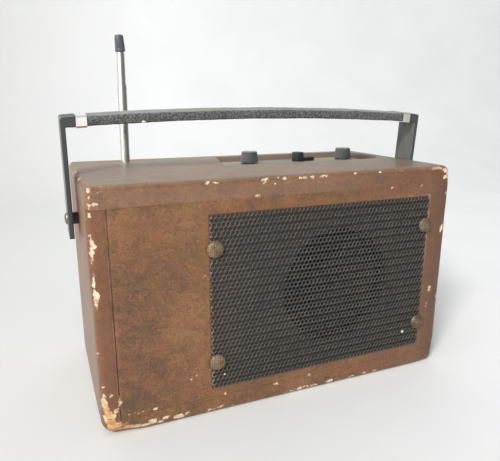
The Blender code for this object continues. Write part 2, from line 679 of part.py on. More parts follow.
def build_batteries(looks):
    """Open tray on the cabinet's floor with two flat batteries side by side."""
    width, depth, height = BATTERY_SIZE
    inner_x = width / 2 + 2 * GAP
    inner_y = depth + 3 * GAP
    floor = BOTTOM_THICKNESS + GAP
    tray = add_object("battery_tray",
                      box((TRAY_X - inner_x - TRAY_WALL, TRAY_Y - inner_y - TRAY_WALL, floor),
                          (TRAY_X + inner_x + TRAY_WALL, TRAY_Y + inner_y + TRAY_WALL,
                           floor + TRAY_HEIGHT)), looks["black"])
    cut(tray, box((TRAY_X - inner_x, TRAY_Y - inner_y, floor + TRAY_WALL),
                  (TRAY_X + inner_x, TRAY_Y + inner_y, floor + TRAY_HEIGHT + MM)), "hollow")
    stand = floor + TRAY_WALL + GAP
    for number, side in enumerate((-1, 1), start=1):
        near = TRAY_Y + side * GAP
        far = TRAY_Y + side * (depth + GAP)
        jacket = box((TRAY_X - width / 2, min(near, far), stand),
                     (TRAY_X + width / 2, max(near, far), stand + height))
        round_edges(jacket, is_corner_post, 2 * MM, 2)
        add_object(f"battery_{number}", jacket, looks["battery"])


def arch_height(x):
    """Return the height of the handle's bowed centre line above its pivot line."""
    return ARCH_CREST - ARCH_SAG * (x / ARCH_SPAN) ** 2


def rounded_section(width, height, radius):
    """Return a rounded rectangle's outline, centred on 0."""
    across = width / 2 - radius
    up = height / 2 - radius
    return (arc(across, up, radius, 0, 90, 2) + arc(-across, up, radius, 90, 180, 2)
            + arc(-across, -up, radius, 180, 270, 2) + arc(across, -up, radius, 270, 360, 2))


def arched_bar(start, end, steps, section, hollow=None):
    """Sweep a (y, z) section along the handle's bow, with an optional hollow right through."""
    mesh_data = bmesh.new()
    stations = [start + (end - start) * i / steps for i in range(steps + 1)]

    def ring_of(outline, x):
        return [mesh_data.verts.new((x, y, arch_height(x) + z)) for y, z in outline]

    def skin(rings):
        for first, second in zip(rings, rings[1:]):
            for i in range(len(first)):
                j = (i + 1) % len(first)
                mesh_data.faces.new((first[i], first[j], second[j], second[i]))

    outside = [ring_of(section, x) for x in stations]
    skin(outside)
    if hollow is None:
        mesh_data.faces.new(outside[0])
        mesh_data.faces.new(outside[-1])
        return mesh_data
    inside = [ring_of(hollow, x) for x in stations]
    skin(inside)
    skin([outside[0], inside[0]])
    skin([outside[-1], inside[-1]])
    return mesh_data


def build_arm(name, side, pivot, looks):
    """Flat handle arm with the thick corner that takes the strap's end."""
    outer = HANDLE_HALF_WIDTH
    inner = outer - ARM_THICKNESS
    stub = GRIP_HALF_LENGTH + COLLAR_LENGTH + 2 * GAP
    crown = arch_height(outer) + GRIP_THICKNESS / 2
    crown_in = arch_height(stub) + GRIP_THICKNESS / 2
    under = arch_height(stub) - GRIP_THICKNESS / 2
    outline = [(outer, -ARM_TAIL)]
    outline += arc(outer - CORNER_RADIUS, crown - CORNER_RADIUS, CORNER_RADIUS, 0, 90, 4)
    outline += [(stub, crown_in), (stub, under)]
    outline += arc(inner - MM, under - MM, MM, 90, 0, 3)
    outline += [(inner, -ARM_TAIL)]
    flat = prism(outline, -ARM_WIDTH / 2, ARM_WIDTH / 2)

    def wanted(a, b):
        return abs(a.z - b.z) < MM and abs(a.z) > ARM_WIDTH / 2 - MM

    round_edges(flat, wanted, ARM_ROUNDING, 2)
    stand_up = Matrix(((side, 0, 0, 0), (0, 0, 1, 0), (0, 1, 0, 0), (0, 0, 0, 1)))
    bmesh.ops.transform(flat, matrix=stand_up, verts=flat.verts)
    arm = add_object(name, flat, looks["black"], pivot)
    cut(arm, add_rod(bmesh.new(), PIVOT_SCREW_RADIUS + GAP, (side * (inner - MM), 0, 0),
                     (side * (outer + MM), 0, 0)), "pivot_hole")
    ends = sorted((side * (stub - MM), side * (STRAP_HALF_LENGTH + GAP)))
    pocket = rounded_section(STRAP_WIDTH + 2 * GAP, STRAP_THICKNESS + 2 * GAP, 0.5 * MM)
    cut(arm, arched_bar(ends[0], ends[1], 2, pocket), "strap_pocket")


def build_handle(looks):
    """Carrying handle: everything that swings is carried by an empty on the pivot line."""
    pivot = add_empty("handle_pivot", (0, PIVOT_Y, PIVOT_Z), (HANDLE_LEAN, 0, 0))
    build_arm("handle_arm_left", -1, pivot, looks)
    build_arm("handle_arm_right", 1, pivot, looks)
    strap = rounded_section(STRAP_WIDTH, STRAP_THICKNESS, 0.5 * MM)
    add_object("handle_strap", arched_bar(-STRAP_HALF_LENGTH, STRAP_HALF_LENGTH, ARCH_STEPS, strap),
               looks["steel"], pivot)
    hollow = rounded_section(STRAP_WIDTH + 2 * GAP, STRAP_THICKNESS + 2 * GAP, 0.5 * MM)
    sleeve = rounded_section(ARM_WIDTH, GRIP_THICKNESS, GRIP_ROUNDING)
    add_object("handle_grip",
               arched_bar(-GRIP_HALF_LENGTH, GRIP_HALF_LENGTH, ARCH_STEPS, sleeve, hollow),
               looks["leatherette"], pivot, smooth=True)
    band = rounded_section(ARM_WIDTH + 2 * COLLAR_PROUD, GRIP_THICKNESS + 2 * COLLAR_PROUD,
                           GRIP_ROUNDING)
    for name, side in (("handle_collar_left", -1), ("handle_collar_right", 1)):
        near = GRIP_HALF_LENGTH + GAP
        ends = sorted((side * near, side * (near + COLLAR_LENGTH)))
        add_object(name, arched_bar(ends[0], ends[1], 1, band, hollow), looks["chrome"], pivot,
                   smooth=True)


def build_pivot(word, side, looks):
    """Pivot screw, spacer and inner nut of one handle arm; they stay with the cabinet."""
    bore = PIVOT_SCREW_RADIUS + GAP
    head = HANDLE_HALF_WIDTH + GAP
    dome = round_head(PIVOT_HEAD_RADIUS, PIVOT_HEAD_HEIGHT, PIVOT_SCREW_RADIUS,
                      head - PIVOT_SCREW_END)
    spacer_in = HALF_WIDTH + GAP
    spacer_out = HANDLE_HALF_WIDTH - ARM_THICKNESS - GAP
    spacer = [(bore, spacer_in), (SPACER_RADIUS, spacer_in), (SPACER_RADIUS, spacer_out),
              (bore, spacer_out)]
    pieces = [
        ("pivot_screw_" + word, lathe(dome, 24), looks["brass"], side * head),
        ("pivot_spacer_" + word, lathe(spacer, 24, closed=True), looks["black"], 0.0)]
    for name, mesh_data, look, x in pieces:
        piece = add_object(name, mesh_data, look, smooth=True)
        piece.rotation_euler = (0, side * math.radians(90), 0)
        piece.location = (x, PIVOT_Y, PIVOT_Z)
    nut_out = INNER_HALF - GAP
    nut_in = nut_out - PIVOT_NUT_HEIGHT
    hexagon = arc(0.0, 0.0, PIVOT_NUT_RADIUS, 0, 300, 5)
    nut = add_object("pivot_nut_" + word, prism(hexagon, nut_in, nut_out), looks["steel"])
    nut.rotation_euler = (0, side * math.radians(90), 0)
    nut.location = (0.0, PIVOT_Y, PIVOT_Z)
    cut(nut, add_rod(bmesh.new(), bore, (0, 0, nut_in - MM), (0, 0, nut_out + MM), 24), "bore")


def build_antenna(looks):
    """Telescopic antenna: nested tubes on one axis, each sliding in the one outside it."""
    axis = add_empty("antenna_axis", (ANTENNA_X, ANTENNA_Y, CABINET_HEIGHT), (0, ANTENNA_LEAN, 0))
    bore = ANTENNA_RADII[0] + GAP
    bush = [(bore, -TOP_THICKNESS), (ANTENNA_BUSH_RADIUS, -TOP_THICKNESS), (ANTENNA_BUSH_RADIUS, 0.0),
            (bore, 0.0)]
    add_object("antenna_bush", lathe(bush, 24, closed=True), looks["chrome"], axis, smooth=True)
    names = ("antenna_base_tube", "antenna_tube_2", "antenna_tube_3", "antenna_tube_4")
    for name, radius, top, length in zip(names, ANTENNA_RADII, ANTENNA_TOPS, ANTENNA_LENGTHS):
        low = top - length
        inside = radius - ANTENNA_WALL
        profile = [(inside, low), (radius, low), (radius, top - 0.4 * MM), (radius - 0.15 * MM, top),
                   (inside, top)]
        if name == names[0]:
            foot = ANTENNA_FOOT_RADIUS
            profile[1:2] = [(foot, low), (foot, low + ANTENNA_FOOT_HEIGHT),
                            (radius, low + ANTENNA_FOOT_HEIGHT)]
        add_object(name, lathe(profile, 24, closed=True), looks["chrome"], axis, smooth=True)
    socket = CAP_BOTTOM + 8 * MM
    rod = add_rod(bmesh.new(), ANTENNA_ROD_RADIUS, (0, 0, socket - GAP - ANTENNA_ROD_LENGTH),
                  (0, 0, socket - GAP), 24)
    add_object("antenna_tip_rod", rod, looks["chrome"], axis, smooth=True)
    skirt, crown = CAP_RADII
    hollow = ANTENNA_RADII[1]
    bore = ANTENNA_ROD_RADIUS + GAP
    top = CAP_BOTTOM + CAP_HEIGHT
    cap = [(0.0, socket), (bore, socket), (bore, CAP_BOTTOM + 2 * MM), (hollow, CAP_BOTTOM + 2 * MM),
           (hollow, CAP_BOTTOM), (skirt, CAP_BOTTOM), (crown, top - 0.8 * MM),
           (crown - 0.8 * MM, top), (0.0, top)]
    add_object("antenna_tip_cap", lathe(cap, 24), looks["black"], axis, smooth=True)


def build_radio():
    """Build every part of the radio."""
    clear_scene()
    looks = make_materials()
    build_top_board(looks)
    build_bottom_board(looks)
    build_side_board("left_side_board", -1, looks)
    build_side_board("right_side_board", 1, looks)
    build_front_baffle(looks)
    build_back_panel(looks)
    build_rear_cleat("rear_cleat_left", -1, looks)
    build_rear_cleat("rear_cleat_right", 1, looks)
    build_back_screws(looks)
    build_grille(looks)
    build_speaker(looks)
    build_control_panel(looks)
    build_turned_control("volume", VOLUME_X, VOLUME_KNOB_RADII, looks)
    build_turned_control("tuning", TUNING_X, TUNING_KNOB_RADII, looks)
    build_band_lever(looks)
    build_volume_control(looks)
    build_boxed_control("tuning_capacitor", TUNING_X, TUNING_BODY, BUSH_HEIGHT, looks)
    build_boxed_control("band_switch", BAND_X, SWITCH_BODY, PANEL_THICKNESS + 0.2 * MM, looks)
    build_electronics(looks)
    build_batteries(looks)
    build_handle(looks)
    build_pivot("left", -1, looks)
    build_pivot("right", 1, looks)
    build_antenna(looks)


build_radio()
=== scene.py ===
"""Looks of the portable table radio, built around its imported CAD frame.

Lengths are in metres, except where a note says mm.
"""
import math
import random
from types import SimpleNamespace

import bmesh
import bpy
import numpy as np
from mathutils import Matrix, Vector, noise
from mathutils.bvhtree import BVHTree


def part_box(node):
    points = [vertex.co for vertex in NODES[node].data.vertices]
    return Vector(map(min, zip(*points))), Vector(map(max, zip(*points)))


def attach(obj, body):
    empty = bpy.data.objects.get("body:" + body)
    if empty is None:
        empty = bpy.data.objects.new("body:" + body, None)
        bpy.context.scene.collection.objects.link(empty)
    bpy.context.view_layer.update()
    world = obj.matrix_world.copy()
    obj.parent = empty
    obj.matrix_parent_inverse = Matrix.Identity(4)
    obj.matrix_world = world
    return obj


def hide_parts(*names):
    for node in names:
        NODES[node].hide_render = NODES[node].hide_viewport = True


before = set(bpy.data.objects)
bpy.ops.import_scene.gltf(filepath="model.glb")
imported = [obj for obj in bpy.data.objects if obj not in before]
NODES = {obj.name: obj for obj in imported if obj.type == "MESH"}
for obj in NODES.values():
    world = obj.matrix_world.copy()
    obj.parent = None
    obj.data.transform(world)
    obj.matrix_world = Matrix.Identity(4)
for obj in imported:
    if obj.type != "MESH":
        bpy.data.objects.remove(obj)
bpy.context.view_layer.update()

MM = 0.001
SEED = 11

# Cabinet box, the grille's rectangle on its front face and the control panel's top
HALF_WIDTH = 166.5 * MM
HALF_DEPTH = 85 * MM
HEIGHT = 203 * MM
GRILLE_LOW, GRILLE_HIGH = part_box("speaker_grille")
PANEL_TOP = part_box("control_panel")[1].z

# Handle frame: pivot line, forward lean and the bow of its grip
PIVOT = Vector((0, -4.7 * MM, 164.5 * MM))
HANDLE_LEAN = math.radians(4.4)
HANDLE_FRAME = Matrix.Translation(PIVOT) @ Matrix.Rotation(HANDLE_LEAN, 4, "X")
ARCH_CREST = 86.9 * MM
ARCH_SAG = 4.2 * MM
ARCH_SPAN = 153 * MM

# Antenna frame: local Z is its axis, 0 at the cabinet's top face
ANTENNA_FRAME = (Matrix.Translation((-113 * MM, 66.4 * MM, HEIGHT))
                 @ Matrix.Rotation(math.radians(0.7), 4, "Y"))
CAP_LEAN = -3.2                      # degrees about Y, against the tube

# Controls on the panel: their line, and in mm a knob's foot and crown radius and its bore
CONTROL_Y = 47 * MM
KNOB_RADII = (9.4, 8.3)
SHAFT_BORE = 3.3

# Grille: hole spacing, painted highlights on the webs by the web's direction, and the height of
# its ridges
GRILLE_PITCH = 3.88 * MM
GRILLE_ROW = 3.71 * MM
GRILLE_SLOPE = 0.45 * MM
HOLE_SHARE = 0.35                    # of the hole's outline that follows its web's hexagon
HOLE_ROUND = 0.6912 * MM             # round part of the hole's radius
CORNER_GLINT, FALLING_GLINT, RISING_GLINT = 0.42, 0.20, 0.85
UPRIGHT_GLINT = (0.15, 0.95)          # in even and odd rows

# Studs: cross-hatch in radians per metre, and its relief
STUD_HATCH = math.tau / (3.4 * MM)
STUD_RELIEF = 0.45 * MM
STUD_HEIGHT = 4 * MM

# The photo's viewpoint; the angles are in degrees, the lens and the sensor in mm
CAMERA_PLACE = (-0.1905, -0.44484, 0.26047)
CAMERA_YAW, CAMERA_PITCH, CAMERA_ROLL = 22.656, -14.466, 0.089
CAMERA_LENS = 35.737
CAMERA_SENSOR = 36

# Sweep: flat from its near end to the bend, then an arc and a wall
SWEEP_HALF_WIDTH = 9.0
SWEEP_NEAR = -6.0
SWEEP_BEND = 0.9
SWEEP_RADIUS = 0.6
SWEEP_TOP = 3.2
SWEEP_STEPS = 14

# Lamps: name, place, aim, size, power and colour
LAMPS = (("key", (-2.4, -2.1, 2.7), (0, 0, 0.1), 0.9, 113, (1.0, 0.985, 0.96)),
         ("soft_left", (-2.4, -0.6, 1.1), (0, 0, 0.15), 2.2, 9, (0.98, 0.99, 1.0)))

# Grip: half sizes, and the lapped seam along its underside
GRIP_HALF_LENGTH = 154.6 * MM
GRIP_HALF_WIDE = 12.9 * MM
GRIP_HALF_THICK = 4.3 * MM
GRIP_ROUNDING = 1.7 * MM
GRIP_STATIONS = 240
SEAM_HALF_WIDTH = 1.0 * MM
SEAM_DEPTH = 0.25 * MM

SIDES = (("left", -1), ("right", 1))
CAP_BOTTOM = 104.4 * MM              # up the antenna's axis

# CAD nodes that stay in view, by their look
CARRIED_NODES = {
    "hardboard": "back_panel",
    "pine": "rear_cleat_left rear_cleat_right",
    "steel": "speaker_basket volume_shaft volume_control tuning_shaft band_shaft band_switch "
             "handle_strap pivot_nut_left pivot_nut_right",
    "paper": "speaker_cone speaker_dust_cap",
    "ferrite": "speaker_magnet output_transformer ferrite_rod",
    "panel": "control_panel",
    "aluminium": "tuning_capacitor if_can_1 if_can_2",
    "laminate": "circuit_board",
    "copper": "ferrite_coil",
    "black": "ferrite_bracket battery_tray pivot_spacer_left pivot_spacer_right",
    "jacket": "battery_1 battery_2",
    "arm": "handle_arm_left handle_arm_right",
    "chrome": "handle_collar_left antenna_bush",
    "antenna": "antenna_tube_3 antenna_tube_4 antenna_tip_rod",
    "dull_chrome": "handle_collar_right"}

# Dials: name, x and radius in mm, number of marks, sweep each way and middle in degrees
DIALS = (("volume", 13.9, 12.2, 11, 150, -90), ("band", 72.2, 22.5, 3, 40, 0),
         ("tuning", 130.4, 12.2, 15, 90, -90))

BOARD_VOXEL = 1.3 * MM
NO_WEAR = -8.0                       # wear far from every chip, in mm

# Paint lost in use on the front face, in mm: (x, z, half length, half height)
LEFT_EDGE_CHIPS = (
    (-163.6, 200.8, 1.9, 1.6), (-162.6, 195, 1.1, 2.4), (-163, 189.5, 1.3, 1.8),
    (-160.8, 190.2, 2.4, 0.9), (-163.2, 184, 1.1, 2.4), (-164.4, 164, 1.5, 5),
    (-163.2, 160, 2.0, 4), (-164.3, 155, 1.3, 3.5), (-164.4, 149.5, 0.9, 2),
    (-164.4, 133, 0.9, 4), (-164.2, 124, 1.5, 3), (-163, 120, 2.1, 4), (-164, 114, 1.0, 2),
    (-165.5, 76, 1, 3), (-164, 46, 0.8, 1.6))
CORNER_CHIPS = (
    (-164, 30, 3.6, 11), (-162, 18, 5.6, 8), (-158, 8, 7.5, 6), (-148, 4.5, 8, 3.4),
    (-139, 4, 4, 2), (-158.5, 37, 1.5, 1.6), (-155, 23, 2.1, 2.3), (-157, 19, 1.6, 1.6),
    (-151.8, 30, 1, 2.6), (-148.5, 9.5, 2.2, 1.1))
BOTTOM_EDGE_CHIPS = (
    (-133, 4, 4, 1.6), (-127, 6, 3.4, 2.6), (-121, 4, 3, 1.5), (-116, 6.5, 1.7, 1),
    (-106, 5, 3.2, 1.6), (-103, 4, 2.4, 2.6), (-97.5, 5.5, 1.9, 1.4), (-77, 3.5, 4.5, 1.2),
    (-68, 4, 1.6, 1.3), (-56, 2.5, 1.3, 1), (1, 2.5, 2.6, 1), (10, 3.5, 3, 2.6),
    (15, 4.5, 2.4, 1.6), (22, 3, 4, 1.2), (40, 3.5, 2.6, 2), (44, 4.4, 1.8, 1.6),
    (53, 2.5, 1.6, 1), (66, 2.5, 3.4, 1.2), (81, 3.5, 2.2, 1.3), (93, 3.2, 4, 1))
SEAM_CHIPS = (
    (-146, 16.6, 2.4, 0.7), (-139, 16.7, 2.2, 0.6), (-131, 17, 3.2, 0.7), (-124, 17.3, 2.4, 0.8),
    (-64, 16.4, 1.2, 1), (-33, 15.4, 1.8, 0.8), (-14.5, 14.2, 1.4, 1), (19.5, 15, 1.5, 1.2),
    (-34, 187.6, 1.9, 0.8), (98.3, 186.5, 1.1, 0.7), (132, 186.6, 0.8, 0.7))
TOP_EDGE_CHIPS = (
    (-75.5, 200.8, 1.4, 1.2), (-68.6, 200.8, 1.3, 1), (-27, 200.5, 2, 1.1), (-24, 201, 1, 0.9),
    (-28, 197.6, 1, 0.8), (-18, 196.6, 1, 0.9), (-15, 201.4, 0.9, 0.9), (-7, 200.6, 3.6, 0.7),
    (9, 200.5, 2.2, 0.8), (17, 200.3, 2.2, 0.9), (21, 200.8, 1.6, 0.8), (26, 200.6, 2.6, 1.1),
    (31, 200.8, 1.6, 1.2), (23.6, 195.5, 1.4, 1.1), (85.3, 201.2, 1.6, 0.9),
    (108.3, 200.8, 1.4, 0.8), (59, 201, 1.1, 0.6))
RIGHT_EDGE_CHIPS = (
    (152, 201.6, 8, 1.6), (160, 199.5, 4, 3), (163, 195, 1.6, 4), (159.5, 193, 1.7, 1.5),
    (163.6, 177.5, 1.1, 1.5), (160.6, 141.5, 1, 3), (162, 144, 1.1, 2.4), (152.9, 81.5, 1.4, 2.6),
    (153.2, 79.5, 1.8, 2.2), (151.3, 65, 0.4, 3), (164, 72, 1, 1.4), (163.8, 50, 1.1, 1.4),
    (163, 22, 1, 1.6))
FLECKS = ((-83.5, 155, 0.7, 0.6), (-79.5, 126, 0.9, 0.6), (-93, 37, 0.7, 0.5), (-88, 39, 0.6, 0.4))
FRONT_CHIPS = (LEFT_EDGE_CHIPS + CORNER_CHIPS + BOTTOM_EDGE_CHIPS + SEAM_CHIPS
               + TOP_EDGE_CHIPS + RIGHT_EDGE_CHIPS + FLECKS)
CHIP_REACH = 3.0                     # how far a front chip reaches back, in mm, at least
FAR_EDGE_CHIPS = 60                  # random chips along the edges away from the front
CHIP_DEPTH = 0.35 * MM
DENT_REACH = 6                       # how far dents spread from an edge, in mm
DENT_DEPTH = 0.5 * MM
# Corners worn down to bare timber: x, z and reach on the front face
TIMBER_CORNERS = ((-HALF_WIDTH, 4 * MM, 40 * MM), (149 * MM, HEIGHT, 13 * MM))

# Joints between the boards, drawn shut where the paint runs over them
ARRIS = 5 * MM
JOINT_REACH = 1.15 * MM
JOINT_HEIGHTS = (16 * MM, 186 * MM)
JOINT_X = 152 * MM
JOINT_CLEAR = 0.5 * MM               # kept between the upright joints and the level ones
JOINT_BACK = 60 * MM                 # joints are left open behind this y
CRACK_DEPTH = 0.8 * MM               # the left upright joint is open as a crack

# Corners that are worn rounder than the rest: (corner, radius, reach along its edges)
WORN_CORNERS = (
    (Vector((-HALF_WIDTH, -HALF_DEPTH, 0)), 11 * MM, 26 * MM),
    (Vector((-HALF_WIDTH, -HALF_DEPTH, HEIGHT)), 5.6 * MM, 12 * MM),
    (Vector((HALF_WIDTH, -HALF_DEPTH, HEIGHT)), 6.8 * MM, 15 * MM),
    (Vector((HALF_WIDTH, -HALF_DEPTH, 0)), 8 * MM, 18 * MM))


class Look:
    """A Principled material with short calls for its procedural nodes.

    Coordinates are the piece's own, so that a pattern moves with its piece.
    """

    def __init__(self, name, roughness=0.5, metallic=0.0, specular=0.5):
        self.material = bpy.data.materials.new(name)
        self.material.use_nodes = True
        self.tree = self.material.node_tree
        self.shader = self.tree.nodes["Principled BSDF"]
        self.set("Roughness", roughness)
        self.set("Metallic", metallic)
        self.set("Specular IOR Level", specular)
        places = self.tree.nodes.new("ShaderNodeTexCoord")
        self.here = places.outputs["Object"]
        self.facing = places.outputs["Normal"]

    def fill(self, socket, value):
        """Link a socket, or give it a constant."""
        if isinstance(value, bpy.types.NodeSocket):
            self.tree.links.new(value, socket)
        elif socket.type == "RGBA":
            socket.default_value = (*value, 1.0)
        else:
            socket.default_value = value

    def set(self, name, value):
        """Set one input of the shader."""
        self.fill(self.shader.inputs[name], value)

    def node(self, kind, inputs, output=0, **settings):
        """Add a node, fill its inputs and return one of its outputs."""
        node = self.tree.nodes.new("ShaderNode" + kind)
        for name, value in settings.items():
            setattr(node, name, value)
        for name, value in inputs.items():
            self.fill(node.inputs[name], value)
        return node.outputs[output]

    def noise(self, scale, detail, rough, at=None):
        """Fractal noise from 0 to 1; scale is in cycles per metre."""
        return self.node("TexNoise", {"Vector": at or self.here, "Scale": scale,
                                      "Detail": detail, "Roughness": rough}, "Fac")

    def cells(self, scale):
        """Distance to the nearest cell centre, in cells."""
        return self.node("TexVoronoi", {"Vector": self.here, "Scale": scale}, "Distance")

    def stretched(self, scale):
        """The piece's coordinates, scaled on each axis."""
        return self.node("Mapping", {"Vector": self.here, "Scale": scale}, "Vector")

    def calc(self, operation, a, b=0.0, c=0.0):
        """One Math node."""
        return self.node("Math", {0: a, 1: b, 2: c}, operation=operation)

    def times(self, first, *others):
        """The product of two or more values."""
        for value in others:
            first = self.calc("MULTIPLY", first, value)
        return first

    def most(self, first, *others):
        """The largest of two or more values."""
        for value in others:
            first = self.calc("MAXIMUM", first, value)
        return first

    def sway(self, pattern, amount, base):
        """A base moved up and down by a pattern whose middle is 0.5."""
        return self.calc("MULTIPLY_ADD", self.calc("SUBTRACT", pattern, 0.5), amount, base)

    def near(self, value, target, reach):
        """1 within reach of a target, 0 beyond."""
        return self.calc("COMPARE", value, target, reach)

    def layered(self, colour, *layers):
        """A colour under (factor, colour) layers, the last one on top."""
        for factor, layer in layers:
            colour = self.mix(factor, colour, layer)
        return colour

    def two_tone(self, fine, share, coarse, dark, light, stops=(0.36, 0.64)):
        """From dark to light over a fine pattern, with its share, and a coarse one."""
        blend = self.calc("MULTIPLY_ADD", fine, share, self.times(coarse, 1 - share))
        return self.ramp(blend, (stops[0], dark), (stops[1], light))

    def span(self, value, low, high, first=0.0, last=1.0):
        """Map a value from low..high to first..last, and hold it there beyond."""
        return self.node("MapRange", {"Value": value, "From Min": low, "From Max": high,
                                      "To Min": first, "To Max": last}, "Result")

    def mix(self, factor, a, b):
        """Mix two colours."""
        return self.node("Mix", {0: factor, 6: a, 7: b}, 2, data_type="RGBA")

    def ramp(self, value, *stops):
        """A colour ramp from (position, colour) stops."""
        colour = self.node("ValToRGB", {"Fac": value}, "Color")
        elements = colour.node.color_ramp.elements
        while len(elements) < len(stops):
            elements.new(0.5)
        for element, (position, shade) in zip(elements, stops):
            element.position = position
            element.color = (*shade, 1.0)
        return colour

    def stored(self, name):
        """A number stored on the mesh's points."""
        return self.node("Attribute", {}, "Fac", attribute_name=name)

    def axes(self, vector):
        """A vector's three numbers."""
        return self.node("SeparateXYZ", {0: vector}, slice(None))

    def place(self):
        """The piece's own x, y and z in mm."""
        return [self.times(axis, 1 / MM) for axis in self.axes(self.here)]

    def bump(self, height, distance, strength):
        """Add relief whose full height is distance, on top of what is there."""
        inputs = {"Height": height, "Distance": distance, "Strength": strength}
        for link in self.shader.inputs["Normal"].links:
            inputs["Normal"] = link.from_socket
        self.set("Normal", self.node("Bump", inputs, "Normal"))


def beyond_grille(look, x, z):
    """Distance in mm outside the grille's rectangle, across the front face."""
    squares = []
    for value, low, high in ((x, GRILLE_LOW.x, GRILLE_HIGH.x), (z, GRILLE_LOW.z, GRILLE_HIGH.z)):
        off = look.calc("ABSOLUTE", look.calc("SUBTRACT", value, (low + high) / 2 / MM))
        beyond = look.most(look.calc("SUBTRACT", off, (high - low) / 2 / MM), 0.0)
        squares.append(look.times(beyond, beyond))
    return look.calc("SQRT", look.calc("ADD", *squares))


def paint_patterns(look):
    """The patterns and masks that the paint's layers share."""
    x, y, z = look.place()
    east, _, up = look.axes(look.facing)
    return SimpleNamespace(
        x=x, y=y, z=z, east=east, up=up,
        patches=look.noise(20, 4, 0.6),
        blotches=look.noise(95, 3, 0.6),
        grain=look.noise(620, 4, 0.75, look.stretched((0.8, 1, 1))),
        streaks=look.noise(240, 4, 0.65, look.stretched((0.16, 1, 1))),
        away=beyond_grille(look, x, z),
        on_front=look.span(y, -84, -84.6),
        in_grooves=look.span(y, -83.2, -83.8),
        upright=look.span(up, 0.5, 0.2),
        level=look.span(up, 0.55, 0.95))


def paint_ground(look, p):
    """Mottled brown with reddish and olive drifts."""
    blend = look.times(p.streaks, 0.10)
    for pattern, share in ((p.grain, 0.43), (p.blotches, 0.20), (p.patches, 0.27)):
        blend = look.calc("MULTIPLY_ADD", pattern, share, blend)
    brown = look.ramp(blend, (0.425, (0.110, 0.062, 0.038)), (0.465, (0.190, 0.091, 0.045)),
                      (0.505, (0.228, 0.101, 0.044)), (0.550, (0.300, 0.148, 0.068)))
    tint = look.noise(55, 4, 0.65, look.stretched((1, 1, 1.3)))
    return look.layered(brown, (look.span(tint, 0.50, 0.66, 0.0, 0.6), (0.235, 0.092, 0.052)),
                        (look.span(tint, 0.50, 0.36, 0.0, 0.5), (0.170, 0.098, 0.042)))


def paint_drifts(look, p, brown):
    """The orange rim round the grille, the redder and darker right side, and a scuff."""
    rim = look.times(look.span(look.sway(p.patches, 30, p.away), 11, 0.5, 0.0, 0.54),
                     p.on_front, look.span(p.blotches, 0.36, 0.56, 0.35, 1.0))
    reddish = look.times(look.span(p.x, 40, 150, 0.0, 0.60),
                         look.span(p.blotches, 0.4, 0.6, 0.3, 1.0), p.upright)
    right_edge = look.span(p.x, 141, 158, 0.0, 0.52)
    scuff = look.times(look.near(p.away, 1.5, 1.2),
                       look.span(p.blotches, 0.42, 0.54, 0.1, 0.75), p.on_front,
                       look.span(p.x, 95, 135), look.span(p.z, 95, 140))
    return look.layered(brown, (rim, (0.248, 0.106, 0.032)), (reddish, (0.138, 0.060, 0.039)),
                        (right_edge, (0.092, 0.050, 0.036)), (scuff, (0.40, 0.235, 0.155)))


def paint_joints(look, p, brown):
    """The board edge left of the crack, the joints' dark and bare lines, and the baffle."""
    floor, lid = (height / MM for height in JOINT_HEIGHTS)
    crack_x = -JOINT_X / MM
    low_board = look.times(p.in_grooves, look.span(p.z, lid + 0.2, lid - 0.2))
    strip = look.times(look.span(p.x, crack_x + 0.4, crack_x - 0.4, 0.0, 0.55), low_board)
    crack = look.times(look.near(p.x, crack_x, 0.5), look.span(p.z, 150, 60, 0.65, 1.0), low_board)
    lid_joint = look.times(look.near(p.z, lid, 0.25), look.span(p.x, -120, -60, 0.50, 0.10))
    floor_joint = look.times(look.near(p.z, floor, 0.25),
                             look.span(p.blotches, 0.42, 0.56, 0.25, 0.7))
    joint = look.times(look.most(crack, lid_joint, floor_joint), p.in_grooves)
    raw_crack = look.times(look.near(p.x, crack_x - 0.8, 0.45), low_board)
    raw_lid = look.times(look.near(p.z, lid + 0.6, 0.4),
                         look.span(p.x, crack_x + 2, crack_x), p.on_front)
    raw = look.times(look.most(raw_crack, raw_lid), look.span(p.blotches, 0.4, 0.55, 0.05, 0.55))
    inside = look.times(look.span(p.away, 0.6, 0.1), look.span(p.y, -70, -72))
    return look.layered(brown, (strip, (0.222, 0.090, 0.044)), (joint, (0.040, 0.021, 0.014)),
                        (raw, (0.40, 0.22, 0.12)), (inside, (0.062, 0.048, 0.038)))


def paint_dust_and_light(look, p, brown):
    """Pits, dust and a painted sheen on the top, a painted highlight on the top board's front
    edge, a painted sheen on the left side, and painted light on the recess's walls.
    """
    pits = look.span(look.noise(560, 3, 0.6), 0.58, 0.68, 0.0, 0.50)
    dark_top = look.times(p.level, look.span(p.x, 70, 150, 0.0, 0.6))
    # dust and a painted sheen on the top faces
    dust_and_sheen = look.sway(p.streaks, 1.1, look.span(look.noise(34, 3, 0.6), 0.3, 0.7, 0.31, 0.49))
    # painted highlight along the top board's front edge, fading toward the right
    lip_highlight = look.times(look.span(p.z, 186.5, 188, 0.0, 0.32), p.upright, look.span(p.x, 110, 20))
    # painted sheen on the lower part of the left side
    left_side_sheen = look.times(look.span(p.east, -0.75, -0.95, 0.0, 0.20), look.span(p.z, 160, 100))
    # painted light on the recess's shaded walls
    recess_walls_lit = look.times(look.span(p.z, 197, 197.3), look.span(p.up, 0.5, 0.2, 0.0, 0.80),
                      look.span(p.y, -6, -4.5), look.span(p.y, 70, 67.5))
    return look.layered(brown, (pits, (0.075, 0.042, 0.030)), (dark_top, (0.110, 0.082, 0.055)),
                        (look.times(p.level, dust_and_sheen), (0.275, 0.232, 0.165)),
                        (lip_highlight, (0.285, 0.190, 0.137)), (left_side_sheen, (0.300, 0.262, 0.222)),
                        (recess_walls_lit, (0.290, 0.222, 0.178)))


